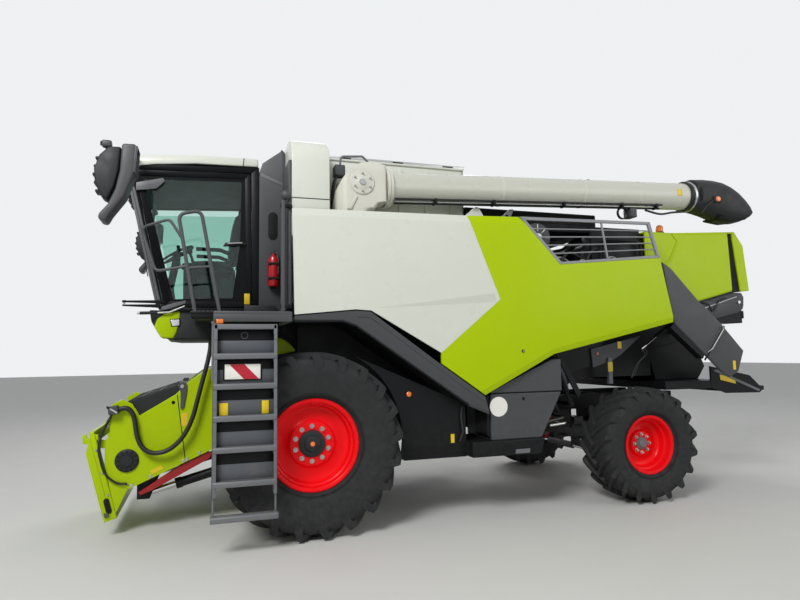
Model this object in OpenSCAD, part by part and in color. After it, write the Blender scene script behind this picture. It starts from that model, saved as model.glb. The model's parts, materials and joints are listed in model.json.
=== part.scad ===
// Combine harvester without a header, standing on its wheels.
// X runs from the front of the machine to its rear, the left side is at -Y, Z is up.
// Places along X are measured from the front axle, and the whole machine is then moved
// so that the middle of its length is at the origin.

/* [Wheels] */
// Distance between the front and the rear axle
wheelbase = 3850; // [3650:10:4000]
// Number of lugs in each row of a front tyre
front_lugs = 21; // [18:1:23]
// Height of the front tyres' lugs
front_lug_h = 50; // [40:1:55]
// Number of lugs in each row of a rear tyre
rear_lugs = 18; // [16:1:20]
// Height of the rear tyres' lugs
rear_lug_h = 40; // [32:1:44]
// Outside diameter of the front tyres over the lugs
front_tyre_d = 1760; // [1700:10:1790]
// Width of the front tyres
front_tyre_w = 650; // [600:10:660]
// Flange diameter of the front rims
front_rim_d = 874; // [840:2:900]
// Width of the front rims over the flanges
front_rim_w = 540; // [500:5:560]
// Distance between the middles of the front tyres
front_track = 2520; // [2500:10:2560]
// Depth of the front wheel discs below the outer flange
front_dish = 150; // [100:5:180]
// Outside diameter of the rear tyres over the lugs
rear_tyre_d = 1300; // [1260:10:1320]
// Width of the rear tyres
rear_tyre_w = 500; // [440:10:510]
// Flange diameter of the rear rims
rear_rim_d = 664; // [640:2:690]
// Width of the rear rims over the flanges
rear_rim_w = 406; // [380:2:420]
// Distance between the middles of the rear tyres
rear_track = 2590; // [2580:10:2640]
// Depth of the rear wheel discs below the outer flange
rear_dish = 190; // [150:5:200]
// Thickness of the rim barrels
rim_t = 14; // [10:1:18]
// Thickness of the wheel discs
disc_t = 22; // [18:1:28]

/* [Chassis] */
// Width of a frame rail
rail_w = 100; // [80:5:110]
// Height of a frame rail
rail_h = 180; // [150:5:200]
// Distance between the middles of the frame rails
rail_gap = 920; // [900:10:940]
// Height of the front axle beam
beam_h = 220; // [180:5:240]
// Distance of the king pins from the middle of the machine
king_y = 930; // [920:5:945]
// Diameter of the king pins
king_d = 70; // [50:5:80]
// Clear height of the towing jaw
jaw_h = 90; // [70:5:110]
// Diameter of the towing pin
tow_d = 38; // [30:1:50]

/* [Body] */
// Width of the threshing body
body_w = 1580; // [1540:10:1600]
// Height of the top of the threshing body
body_top = 2300; // [2280:5:2320]
// Distance of the side panels' outer faces from the middle of the machine
panel_y = 1500; // [1490:5:1520]
// Thickness of a side panel
panel_t = 30; // [20:1:35]
// Height of the top edge of the side panels at the front
panel_top = 3160; // [3150:5:3180]
// Height of the shoulder of the grain tank, just under the top edge of the panels
shoulder_z = 3120; // [3100:5:3130]
// Height of the grain tank's rim
tank_top = 3850; // [3800:10:3860]
// Distance of the tank's upper walls from the middle of the machine
tank_y = 1000; // [980:5:1010]
// Thickness of the tank's sheets with their ribs
tank_t = 20; // [12:1:30]
// Thickness of a tank lid
lid_t = 30; // [20:1:40]
// Depth of the louvre bars
louvre_t = 20; // [12:1:28]

/* [Cab] */
// Width of the cab over its door
cab_w = 1860; // [1840:5:1870]
// Height of the cab floor
cab_floor = 2180; // [2170:5:2200]
// Height of the cab's roof line at the sides
cab_top = 3640; // [3600:10:3660]
// Thickness of the cab's pillars and walls
cab_t = 60; // [50:5:70]
// Thickness of the panes
pane_t = 8; // [6:1:10]

/* [Feeder house] */
// Half of the width of the feeder house
feeder_y = 700; // [690:5:705]
// Thickness of its sheets
feeder_t = 20; // [12:1:25]
// Diameter of the lift cylinders' barrels
barrel_d = 100; // [90:5:110]
// Diameter of the lift cylinders' rods
rod_d = 60; // [50:5:65]
// Diameter of the pins of the lift cylinders
pin_d = 40; // [30:5:45]

/* [Unloader] */
// Outside diameter of the unloading tube
tube_d = 335; // [320:5:340]
// Outside diameter of the turret
turret_d = 440; // [420:5:445]

/* [Hidden] */
$fn = 48;

lime = "#a8c400";
off_white = "#cfd1c6";
dark_grey = "#4a4b4f";
black = "#1c1c1e";
rim_red = "#e8101a";
rubber = "#2e2f30";
steel = "#9a9c9e";

// Reach of the machine before and behind the front axle, and the shift that centres it
front_reach = 2110;
rear_reach = 6040;
axle_x = -(rear_reach - front_reach) / 2;
gap = 0.3;

front_z = front_tyre_d / 2;
rear_z = rear_tyre_d / 2;
// Outer face of each wheel disc from the middle of the machine
front_disc_y = front_track / 2 + front_rim_w / 2 - front_dish;
rear_disc_y = rear_track / 2 + rear_rim_w / 2 - rear_dish;

// Height of the underside of the frame rails, and how far larger or smaller front tyres lift it
frame_z = 990;
axle_z = frame_z - beam_h / 2;
rise = front_z - axle_z;

module at_axle() translate([axle_x, 0, 0]) children();

// All that stands on the frame rails goes up and down with the front axle
module at_body() translate([axle_x, 0, rise]) children();

module block(x, y, z) {
    translate([x[0], y[0], z[0]]) cube([x[1] - x[0], y[1] - y[0], z[1] - z[0]]);
}

// Outline in X and Z, as thick as y reaches
module side_plate(points, y) {
    translate([0, y[1], 0]) rotate([90, 0, 0]) linear_extrude(y[1] - y[0]) polygon(points);
}

// Outline in Y and Z, as long as x reaches
module cross_plate(points, x) {
    translate([x[0], 0, 0]) rotate([90, 0, 90]) linear_extrude(x[1] - x[0]) polygon(points);
}

function between(a, b, t) = a * (1 - t) + b * t;

// Pipe or bar from one point to another
module bar(p, q, d) {
    v = q - p;
    translate(p) rotate([0, acos(v[2] / norm(v)), atan2(v[1], v[0])]) rotate([0, 0, 40]) cylinder(h = norm(v), d = d);
}

function unit(v) = v / norm(v);

// Pipe through a list of points. Its legs cross at the corners, and every other leg is thinner.
module pipe(points, d) {
    last = len(points) - 2;
    for (i = [0 : last]) {
        over = unit(points[i + 1] - points[i]) * d * 0.4;
        bar(points[i] - (i > 0 ? over : 0 * over), points[i + 1] + (i < last ? over : 0 * over), d - 2 * (i % 2));
    }
}

// Cylinder along Y between two places
module across(x, z, y, d) {
    translate([x, y[1], z]) rotate([90, 0, 0]) cylinder(h = y[1] - y[0], d = d);
}

module both_sides() {
    children();
    mirror([0, 1, 0]) children();
}

// side is -1 for the left and 1 for the right
module on_side(side) {
    if (side < 0) children();
    else mirror([0, 1, 0]) children();
}

// Wheels

// Section of a tyre in radius and width, from the seat to the tread. drop is how far the tread lies
// below the lugs' tips, and shoulder how much narrower it is there.
module tyre_section(d, w, seat_d, seat_w, drop, shoulder) {
    r = d / 2;
    s = seat_d / 2;
    half = [
        [s, seat_w / 2], [s + 45, seat_w / 2 + 8], [(r + s) / 2 - 20, w / 2], [(r + s) / 2 + 60, w / 2],
        [r - 75 - drop / 2, w / 2 - 22 - shoulder / 2], [r - 22 - drop, w / 2 - 48 - shoulder], [r - drop, w / 4]
    ];
    polygon(concat([for (p = half) [p[0], -p[1]]], [for (i = [len(half) - 1 : -1 : 0]) half[i]]));
}

// Two rows of n slanting bars from the middle of the tread out over the shoulders
module lug_bars(d, w, n) {
    r = d / 2;
    slant = 1.05 * 360 / n;
    t = r * sin(slant / 2);
    base = r * 0.83;
    for (i = [0 : n - 1], row = [0, 1])
        mirror([0, 1 - row, 0]) rotate([0, (i + row / 2) * 360 / n + slant / 2, 0]) translate([0, 0, base])
            linear_extrude(r + 30 - base) polygon([
                [-t - 30, -0.03 * w], [-t + 30, -0.03 * w], [t + 38, w / 2 - 12], [t - 38, w / 2 - 12]
            ]);
}

module tyre(x, y, z, d, w, rim_d, rim_w, n, lug_h) {
    seat_d = rim_d - 2 * rim_flange;
    seat_w = rim_w - 2 * rim_t - 16;
    color(rubber) at_axle() translate([x, y, z]) {
        rotate([90, 0, 0]) rotate_extrude($fn = 64) tyre_section(d, w, seat_d, seat_w, lug_h, 14);
        intersection() {
            rotate([90, 0, 0]) rotate_extrude($fn = 64) tyre_section(d, w, seat_d, seat_w, 0, 0);
            lug_bars(d, w, n);
        }
    }
}

rim_flange = 28;

front_hub_in = 330;
rear_hub_in = 190;
stub_front_d = 160;
stub_rear_d = 100;
hub_t = 55;
cap_h = 45;

// Rim with its flanges, disc, hub sleeve and hub cap, outer side at -Y
module wheel_rim(w, d, dish, stub_d, hub_in) {
    r = d / 2;
    seat = r - rim_flange;
    disc = w / 2 - dish;
    hub_r = stub_d / 2 + hub_t;
    rotate([90, 0, 0]) rotate_extrude($fn = 64) union() {
        translate([seat - rim_t, -w / 2]) square([rim_t, w]);
        translate([seat - rim_t, -w / 2]) square([r - seat + rim_t, rim_t]);
        translate([seat - rim_t, w / 2 - rim_t]) square([r - seat + rim_t, rim_t]);
        translate([0, disc - disc_t]) square([seat, disc_t]);
        translate([stub_d / 2 + gap, disc - hub_in]) square([hub_t, hub_in]);
        translate([0, disc - 1]) square([hub_r, cap_h + 1]);
    }
}

module front_rim(side) {
    color(rim_red) at_axle() on_side(side) translate([0, -front_track / 2, front_z])
        wheel_rim(front_rim_w, front_rim_d, front_dish, stub_front_d, front_hub_in);
}

module rear_rim(side) {
    color(rim_red) at_axle() on_side(side) translate([wheelbase, -rear_track / 2, rear_z])
        wheel_rim(rear_rim_w, rear_rim_d, rear_dish, stub_rear_d, rear_hub_in);
}

module front_tyre(side) {
    on_side(side) tyre(
        0, -front_track / 2, front_z, front_tyre_d, front_tyre_w, front_rim_d, front_rim_w, front_lugs, front_lug_h
    );
}

module rear_tyre(side) {
    on_side(side) tyre(
        wheelbase, -rear_track / 2, rear_z, rear_tyre_d, rear_tyre_w, rear_rim_d, rear_rim_w, rear_lugs, rear_lug_h
    );
}

// Axles and steering

beam_x = 130;
beam_top = frame_z;
drive_y = [780, 960];
drive_d = 540;
stub_end = 8;
// Half of the clear width between the brackets of a lift cylinder
bracket_in = 60;

module front_axle() {
    color(dark_grey) at_body() {
        block([-beam_x, beam_x], [-drive_y[0] - 20, drive_y[0] + 20], [beam_top - beam_h, beam_top]);
        both_sides() {
            across(0, axle_z, [-drive_y[1], -drive_y[0]], drive_d);
            across(0, axle_z, [-front_disc_y + disc_t + stub_end, -drive_y[0]], stub_front_d);
            // Brackets with the pins of the lift cylinders
            for (dy = [-bracket_in - 20, bracket_in]) side_plate([
                lift_pin + [-50, -50], lift_pin + [60, -50], [60, beam_top - beam_h + 30], [-120, beam_top - beam_h + 30]
            ], [-lift_y + dy, -lift_y + dy + 20]);
            across(lift_pin[0], lift_pin[1], [-lift_y - bracket_in - 20, -lift_y + bracket_in + 20], pin_d);
        }
    }
}

yoke_h = 260;
yoke_t = 30;
knuckle_d = 150;
arm_x = -220;
arm_t = 26;
arm_z = rear_z - yoke_h / 2 + 2;
rod_z = arm_z - 26;
steer_rod_d = 40;
steer_barrel_d = 84;

module rear_axle() {
    color(dark_grey) at_axle() translate([wheelbase, 0, rear_z]) {
        block([-70, 70], [-king_y + 90, king_y - 90], [-88, 88]);
        both_sides() for (z = [-yoke_h / 2 - yoke_t, yoke_h / 2])
            block([-70, 70], [-king_y - 60, -king_y + 140], [z, z + yoke_t]);
        both_sides() block([-70, 70], [-king_y + 90, -king_y + 140], [-yoke_h / 2 - yoke_t, yoke_h / 2 + yoke_t]);
        both_sides() translate([0, -king_y, -yoke_h / 2 - yoke_t]) cylinder(h = yoke_h + 2 * yoke_t, d = king_d);
        // Pivot of the axle under the frame
        block([-70, 70], [-110, 110], [80, 190]);
        translate([-200, 0, 130]) rotate([0, 90, 0]) cylinder(h = 400, d = 70);
        // Steering cylinder with its brackets
        translate([arm_x, 0, rod_z - rear_z]) difference() {
            across(0, 0, [-280, 280], steer_barrel_d);
            across(0, 0, [-300, 300], steer_rod_d + 2 * gap);
        }
        for (y = [-200, 200])
            block([arm_x + steer_rod_d / 2 + 15, -60], [y - 15, y + 15], [rod_z - rear_z - 20, -60]);
    }
}

module steering_rod() {
    color(steel) at_axle() translate([wheelbase + arm_x, 0, rod_z])
        across(0, 0, [-king_y - 8, king_y + 8], steer_rod_d);
}

module knuckle(side) {
    color(dark_grey) at_axle() on_side(side) translate([wheelbase, 0, rear_z]) difference() {
        union() {
            translate([0, -king_y, -yoke_h / 2 + 2]) cylinder(h = yoke_h - 4, d = knuckle_d);
            across(0, 0, [-rear_disc_y + disc_t + stub_end, -king_y], stub_rear_d);
            translate([0, 0, arm_z - rear_z]) linear_extrude(arm_t) polygon([
                [0, -king_y - 60], [arm_x - 30, -king_y - 40], [arm_x - 30, -king_y + 12], [0, -king_y + 12]
            ]);
        }
        translate([0, -king_y, -yoke_h]) cylinder(h = 2 * yoke_h, d = king_d + 2 * gap);
    }
}

// Chassis and threshing body

rail_z = frame_z;
rail_x = [-350, 5050];
trestle_x = 170;

module chassis() {
    rail_y = rail_gap / 2;
    pivot_z = rear_z + 130 - rise;
    color(dark_grey) at_body() {
        both_sides() block(rail_x, [-rail_y - rail_w / 2, -rail_y + rail_w / 2], [rail_z, rail_z + rail_h]);
        for (x = [rail_x[0] + 20, wheelbase - 400, wheelbase + 240, rail_x[1] - 90])
            block([x, x + 90], [-rail_y, rail_y], [rail_z + 20, rail_z + rail_h - 20]);
        // Trestle plates that hold the pivot of the rear axle
        for (x = [wheelbase - trestle_x - 30, wheelbase + trestle_x]) difference() {
            block([x, x + 30], [-200, 200], [pivot_z - 70, rail_z + 60]);
            translate([x - 10, 0, pivot_z]) rotate([0, 90, 0]) cylinder(h = 60, d = 70 + 2 * gap);
        }
        for (x = [wheelbase - trestle_x - 30, wheelbase + trestle_x])
            block([x, x + 30], [-rail_y, rail_y], [rail_z + 20, rail_z + 70]);
        // Towing jaw at the rear end
        translate([rail_x[1], 0, rail_z + rail_h / 2]) {
            block([-60, 0], [-110, 110], [-90, 90]);
            for (z = [-jaw_h / 2 - 25, jaw_h / 2]) difference() {
                block([-10, 130], [-60, 60], [z, z + 25]);
                translate([80, 0, z - 10]) cylinder(h = 60, d = tow_d);
            }
        }
    }
}

body_floor = rail_z + rail_h;
body_front = -50;
body_rear = 4940;
arch_z = 1400;
// Side outline of the chopper's housing, whose top is the underside of the straw hood
chopper = [[4600, 1330], [4500, 1740], [body_rear, 1828], [5250, 1890], [5420, 1500], [5300, 1330]];
feeder_pivot = [-350, 1420];
cheek_y = feeder_y + 15;

module threshing_body() {
    y = body_w / 2;
    color(dark_grey) at_body() {
        side_plate([
            [body_front, body_floor], [wheelbase - 750, body_floor], [wheelbase - 500, arch_z],
            [chopper[1][0], arch_z], chopper[1], chopper[2], [body_rear, body_top], [body_front, body_top]
        ], [-y, y]);
        // Belly with the stone trap, the concave and the sieve pan, between the rails
        side_plate([
            [body_front + 250, body_floor + 5], [body_front + 250, 900], [900, 780], [2600, 840],
            [wheelbase - 700, body_floor - 60], [wheelbase - 700, body_floor + 5]
        ], [-rail_gap / 2 + rail_w / 2 + gap, rail_gap / 2 - rail_w / 2 - gap]);
        // Cheeks that carry the feeder house
        both_sides() difference() {
            block([-520, body_front + 1], [-cheek_y - 40, -cheek_y], [1200, 1790]);
            across(feeder_pivot[0], feeder_pivot[1], [-cheek_y - 80, -cheek_y + 80], 90 + 2 * gap);
        }
    }
}

// Grain tank

tank_x = [-200, 1830];
open_x = 180;
shoulder_y = panel_y - panel_t - 30;
round_r = 260;

// Cross section of the front of the tank with its rounded shoulders
function shoulder_arc(y, z, r, n) = [for (i = [0 : n]) [y - r + r * sin(90 * i / n), z - r + r * cos(90 * i / n)]];
front_half = concat(shoulder_arc(shoulder_y, tank_top + 70, round_r, 6), [[shoulder_y, shoulder_z]]);
function mirrored(points) = concat(points, [for (i = [len(points) - 1 : -1 : 0]) [-points[i][0], points[i][1]]]);
hopper_half = [[shoulder_y, shoulder_z], [shoulder_y, 2900], [body_w / 2, body_top]];

// The cradles on which the unloading tube comes to lie, just clear of it
cradle_z = 3345;
cradle_y = [-1250, -1220];

module grain_tank() {
    t = tank_t;
    color(off_white) at_body() {
        cross_plate(mirrored(front_half), [tank_x[0], open_x]);
        difference() {
            union() {
                cross_plate(mirrored(hopper_half), [tank_x[0], tank_x[1]]);
                block([open_x - 5, tank_x[1]], [-tank_y, tank_y], [shoulder_z - 5, tank_top]);
            }
            cross_plate(mirrored([
                [shoulder_y - t, shoulder_z - t], [shoulder_y - t, 2900 + t], [body_w / 2 - t, body_top + 2 * t]
            ]), [open_x + t, tank_x[1] - t]);
            block([open_x + t, tank_x[1] - t], [-tank_y + t, tank_y - t], [shoulder_z - 2 * t, tank_top + 10]);
        }
        // Front cradle under the unloading tube
        side_plate([
            [1640, shoulder_z - 10], [1740, cradle_z - 100], [1860, cradle_z], [1900, cradle_z],
            [1960, cradle_z - 100], [1825, shoulder_z - 10]
        ], cradle_y);
        // Seats of the side panels under their hinges
        both_sides() for (x = [tank_x[0] + 100, tank_x[1] - 130])
            block([x, x + 80], [-panel_y + panel_t + gap, -shoulder_y + 1], [shoulder_z - 60, shoulder_z - 20]);
    }
}

cab_rear = -470;

module tank_front() {
    color(dark_grey) at_body() {
        both_sides() side_plate([
            [cab_rear, cab_floor], [cab_rear, cab_top + 130], [tank_x[0] - gap, tank_top + 70],
            [tank_x[0] - gap, cab_floor]
        ], [-cab_w / 2 - 20, -cab_w / 2 + 20]);
        block([cab_rear + 120, tank_x[0] - gap], [-cab_w / 2, cab_w / 2], [2320, tank_top - 50]);
        both_sides() block([tank_x[0] - 30, tank_x[0] - gap], [-shoulder_y, -cab_w / 2], [cab_floor, tank_top - 200]);
        // Fire extinguisher on its holder
        block([-365, -295], [-cab_w / 2 - 50, -cab_w / 2 - 15], [2420, 2760]);
        translate([-330, -cab_w / 2 - 92, 2430]) cylinder(h = 290, d = 116);
        translate([-330, -cab_w / 2 - 92, 2715]) cylinder(h = 75, d = 44);
    }
}

lid_open_x = [open_x + 5, tank_x[1] + 20];

module tank_lid(side) {
    color(off_white) at_body() on_side(side)
        block(lid_open_x, [-tank_y, -3], [tank_top + gap, tank_top + gap + lid_t]);
}

// Side panels, places from the photograph's left side

louvre = [[2270, 3205], [2760, 2690], [4120, 2810], [4000, 3235]];
colour_line = [[1650, 3186], [2010, 2290], [1320, 1730]];
white_outline = concat([[-180, 2115], [-200, panel_top]], colour_line, [[580, 2160], [420, 2170]]);
green_outline = concat(
    [for (i = [2 : -1 : 0]) colour_line[i]],
    [louvre[0], louvre[3], louvre[2], [4280, 2050], [2660, 1700], [1810, 1280], [1320, 1620]]
);

module panel_white(side) {
    color(off_white) at_body() on_side(side) side_plate(white_outline, [-panel_y, -panel_y + panel_t]);
}

module panel_green(side) {
    bars = 4;
    color(lime) at_body() on_side(side) {
        difference() {
            side_plate(green_outline, [-panel_y, -panel_y + panel_t]);
            side_plate([
                louvre[0] + [75, -35], louvre[1] + [20, 30], louvre[2] + [-45, 30], louvre[3] + [-35, -35]
            ], [-panel_y - 10, -panel_y + panel_t + 10]);
        }
        for (i = [1 : bars]) {
            f = i / (bars + 1);
            a = louvre[0] * (1 - f) + louvre[1] * f;
            b = louvre[3] * (1 - f) + louvre[2] * f;
            side_plate([a + [40, -8], b + [-20, -8], b + [-20, 8], a + [40, 8]], [-panel_y + 3, -panel_y + 3 + louvre_t]);
        }
        side_plate([[3310, 3210], [3330, 3210], [3410, 2740], [3390, 2740]], [-panel_y + 3, -panel_y + 3 + louvre_t]);
    }
}

// Engine and what stands on the deck

deck_x = [1860, 4150];
deck_z = 2420;

cooler_y = [900, 1250];
manifold = [-450, deck_z + 570];

module engine() {
    z = deck_z;
    color(black) at_body() {
        block(deck_x, [-1250, 1250], [z - 120, z]);
        // Block on its feet, sump, side housing and valve covers
        block([2350, 3450], [-330, 330], [z + 180, z + 620]);
        block([2500, 3350], [-260, 260], [z + 120, z + 181]);
        block([2380, 3420], [-450, -329], [z + 200, z + 480]);
        block([2400, 3400], [-200, 200], [z + 619, z + 850]);
        for (x = [2450, 3300]) both_sides() block([x, x + 80], [-380, -300], [z - 5, z + 200]);
        // Exhaust manifold with its branches
        translate([2420, manifold[0], manifold[1]]) rotate([0, 90, 0]) cylinder(h = 900, d = 84);
        for (i = [0 : 5]) across(2500 + i * 148, manifold[1], [manifold[0], -320], 64);
        // Cooling box on the right with its screen and fan ring
        block([2300, 3700], cooler_y, [z - 5, z + 760]);
        across(3000, z + 380, [cooler_y[1] - 1, cooler_y[1] + 10], 690);
        difference() {
            across(3000, z + 380, [cooler_y[0] - 60, cooler_y[0] + 1], 660);
            across(3000, z + 380, [cooler_y[0] - 70, cooler_y[0] - 5], 600);
        }
        across(3000, z + 380, [cooler_y[0] - 50, cooler_y[0] + 1], 160);
        // Silencer behind the engine on its stands, and the air filter
        across(3750, z + 560, [-700, 300], 300);
        for (y = [-600, 150]) block([3690, 3810], [y, y + 40], [z - 5, z + 450]);
        translate([2150, -850, z - 5]) cylinder(h = 800, d = 220);
        // Intake drum behind the louvre with its duct and its stand
        across(2640, z + 620, [-1240, -1060], 330);
        bar([2640, -1070, z + 620], [2640, -440, z + 420], 90);
        block([2600, 2680], [-1180, -1080], [z - 5, z + 480]);
        // Service blocks along the left edge, and the rear cabinet
        for (i = [0 : 2]) {
            x = 3180 + i * 210;
            block([x, x + 150], [-1180, -1040], [z - 5, z + 240 + 60 * i]);
            translate([x + 75, -1110, z + 235 + 60 * i]) cylinder(h = 65, d = 60);
        }
        block([3900, 4120], [-600, 600], [z - 5, z + 500]);
        // Air intake housing over the engine on its posts, and the guard behind the louvre's rear half
        block([deck_x[0], 3650], [-950, cooler_y[1]], [z + 755, z + 1000]);
        for (x = [deck_x[0] + 20, 3590]) block([x, x + 60], [-940, -880], [z - 5, z + 760]);
        block([3420, 4130], [-1150, -1110], [z - 5, z + 800]);
        // Rear cradle under the unloading tube
        side_plate([
            [2180, z - 5], [2180, cradle_z - 100], [2290, cradle_z], [2340, cradle_z], [2290, cradle_z - 110],
            [2230, cradle_z - 150], [2230, z - 5]
        ], cradle_y);
        // Rails at the front and the rear of the deck
        for (side = [-1, 1]) pipe([
            [3560, side * 1200, z - 10], [3560, side * 1200, z + 640], [4100, side * 1200, z + 640], [4100, side * 1200, z - 10]
        ], 34);
        pipe([[1950, -1225, z - 10], [1950, -1225, z + 600], [2350, -1225, z + 640]], 34);
    }
}

// Rear of the machine

hood_x = [4170, 5750];
hood_y = 1200;
hood_t = 20;
hood_z = 3190;
beacon_x = 4500;

module rear_hood() {
    t = hood_t;
    color(lime) at_body() difference() {
        side_plate([
            [hood_x[0], body_top + gap], [hood_x[0], hood_z], [beacon_x + 70, hood_z], [5590, hood_z + 60], [5720, 3070],
            [5780, 2480], [5510, 2450], [body_rear - 40, body_top + gap]
        ], [-hood_y, hood_y]);
        side_plate([
            [hood_x[0] - 10, body_top + t], [hood_x[0] - 10, hood_z - t], [beacon_x + 70, hood_z - t], [5580, hood_z + 60 - t],
            [5700, 3060], [5755, 2450], [5510, 2430], [body_rear - 44, body_top + t]
        ], [-hood_y + t, hood_y - t]);
    }
}

cover_y = 1420;
cover_outline = [
    [4220, 2770], [4360, 2690], [4750, 2300], [5070, 2030], [5390, 1700], [5290, 1450], [5150, 1380],
    [5060, 1420], [4350, 2040]
];

module rear_covers() {
    color(dark_grey) at_body() both_sides() {
        side_plate(cover_outline, [-cover_y, -cover_y + 30]);
        // Stays to the threshing body
        for (p = [[4500, 2240], [4880, 1960]]) across(p[0], p[1], [-cover_y + 20, -body_w / 2], 50);
    }
}

module spreader() {
    color(black) at_body() {
        // Chopper housing under the straw hood
        side_plate(chopper, [-750, 750]);
        // Spreader with its raised sides
        side_plate([[4450, 1230], [4450, 1331], [5400, 1331], [5420, 1230]], [-1100, 1100]);
        both_sides() side_plate([
            [5160, 1240], [5160, 1510], [5800, 1380], [rear_reach - 20, 1190], [5950, 1150], [5400, 1160]
        ], [-1100, -1080]);
        block([5390, rear_reach], [-1100, 1100], [1180, 1240]);
        // Grey rear frame under the hood
        side_plate([
            [body_rear, 2060], [body_rear, body_top - 1], [5560, 2430], [5720, 2430], [5720, 2060]
        ], [-1150, 1150]);
        both_sides() block([5170, 5250], [-700, -640], [1800, 2070]);
    }
}

// Dark grey skirts, the fender ceilings and the covers behind the front wheels

skirt_t = 30;
skirt_gap = 12;

module side_skirts() {
    y = [-panel_y, -panel_y + skirt_t];
    color(dark_grey) at_body() both_sides() {
        side_plate([
            [-180, 2040], [-180, 2115 - skirt_gap], [420, 2170 - skirt_gap], [575, 2160 - skirt_gap],
            [1315, 1620 - skirt_gap], [1800, 1280 - skirt_gap], [1850, 1080], [1610, 1180], [420, 2000], [290, 2045]
        ], y);
        side_plate([
            [-180, 2040], [290, 2045], [420, 2000], [1610, 1180], [1640, 1215], [430, 2030], [300, 2070], [-180, 2070]
        ], [-panel_y + 5, -body_w / 2]);
        difference() {
            side_plate([[640, 1880], [1640, 1190], [1650, 640], [760, 640]], [-1330, -1300]);
            across(0, axle_z, [-1400, -1200], front_tyre_d + 120);
        }
    }
}

locker_y = [-1420, -body_w / 2];

module lockers() {
    color(dark_grey) at_body() both_sides() {
        side_plate([[1900, 800], [1900, 1310], [2660, 1640], [2770, 1640], [2770, 1280], [2500, 800]], locker_y);
        side_plate([[1660, 640], [1660, 800], [2520, 800], [2470, 640]], [locker_y[0] - 40, -body_w / 2]);
    }
}

// Cab

// Side outline of the cab, from the front of the sill round to the front of the roof
cab_front_low = -1420;
cab_front_top = -1740;
cab_outline = [
    [cab_front_low, cab_floor], [cab_front_top, cab_top], [cab_rear, cab_top + 60], [cab_rear, cab_floor]
];
door_x = [-1380, -1680, -560, -540];
door_z = [cab_floor + 45, cab_top - 55, cab_top - 15, cab_floor + 45];
door_outline = [for (i = [0 : 3]) [door_x[i], door_z[i]]];
door_rim = 55;
door_hole = [
    door_outline[0] + [door_rim, door_rim], door_outline[1] + [door_rim, -door_rim],
    door_outline[2] + [-door_rim, -door_rim], door_outline[3] + [-door_rim, door_rim]
];
door_gap = 8;
nose_z = 1900;
// Axis of the door, and its hinges: the pillar's edge in X and the height
door_axis = [-1740, -cab_w / 2 - 25];
door_hinges = [[-1690, cab_top - 170], [-1425, cab_floor + 90]];
hinge_pin_d = 20;
// Height of the windscreen's lower edge over the underside of the cab floor
pane_low = 22;

module cab_frame() {
    y = cab_w / 2;
    inner = [
        [cab_front_low - 200, cab_floor + cab_t], [cab_front_top - 200, cab_top - cab_t],
        [cab_rear - cab_t, cab_top], [cab_rear - cab_t, cab_floor + cab_t]
    ];
    side_hole = [
        door_outline[0] + [-door_gap, -door_gap], door_outline[1] + [-door_gap, door_gap],
        door_outline[2] + [door_gap, door_gap], door_outline[3] + [door_gap, -door_gap]
    ];
    color(black) at_body() {
        difference() {
            side_plate(cab_outline, [-y, y]);
            side_plate(inner, [-y + cab_t, y - cab_t]);
            side_plate(side_hole, [-y - 10, -y + cab_t + 10]);
            side_plate(door_hole, [y - cab_t - 10, y + 10]);
            block([cab_rear - cab_t - 10, cab_rear + 10], [-y + 150, y - 150], [2900, 3500]);
        }
        // Nose under the windscreen and the base between the cab and the body
        side_plate([[-1520, cab_floor + 20], [-1480, 2060], [-1250, nose_z], [-900, nose_z], [-900, cab_floor + 1]], [-y + 40, y - 40]);
        block([-901, cab_rear], [-y + 60, y - 60], [nose_z + 60, cab_floor + 1]);
        both_sides() block([-900, body_front], [-650, -570], [nose_z - 40, nose_z + 61]);
        // Brackets and pins of the door's hinges
        for (h = door_hinges) {
            block([door_axis[0] - 25, h[0] + 10], [door_axis[1] - 20, -y + 5], [h[1] - 70, h[1] - 32]);
            translate([door_axis[0], door_axis[1], h[1] - 40]) cylinder(h = 70, d = hinge_pin_d);
        }
    }
}

module cab_roof() {
    y = cab_w / 2 + 10;
    color(off_white) at_body() side_plate([
        [cab_front_top - 150, cab_top + 20], [cab_front_top - 110, cab_top + 110], [cab_front_top + 200, cab_top + 165],
        [cab_rear - 10, cab_top + 160], [cab_rear - 10, cab_top + 60 + gap], [cab_front_top, cab_top + gap]
    ], [-y, y]);
}

module cab_glass() {
    y = cab_w / 2;
    color("#7fa89a", 0.5) at_body() {
        // Windscreen in front of the pillars, then the right window and the rear window
        low = cab_outline[0] + (cab_outline[1] - cab_outline[0]) * pane_low / (cab_top - cab_floor);
        side_plate([
            low + [-gap, 0], cab_outline[1] + [-gap, -1], cab_outline[1] + [-gap - pane_t, -1],
            low + [-gap - pane_t, 0]
        ], [-y + 10, y - 10]);
        side_plate(door_hole, [y - cab_t / 2, y - cab_t / 2 + pane_t]);
        block([cab_rear - cab_t / 2, cab_rear - cab_t / 2 + pane_t], [-y + 150, y - 150], [2900, 3500]);
    }
}

seat_x = -900;
seat_z = cab_floor + 500;
// Height of the seat's back under the roof line
seat_top = cab_top - 260;

module cab_seat() {
    color(black) at_body() {
        block([seat_x - 260, seat_x + 240], [-260, 260], [seat_z, seat_z + 110]);
        translate([seat_x + 200, 0, seat_z + 80]) rotate([0, 8, 0]) block([0, 110], [-250, 250], [0, seat_top - seat_z - 80]);
    }
}

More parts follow.
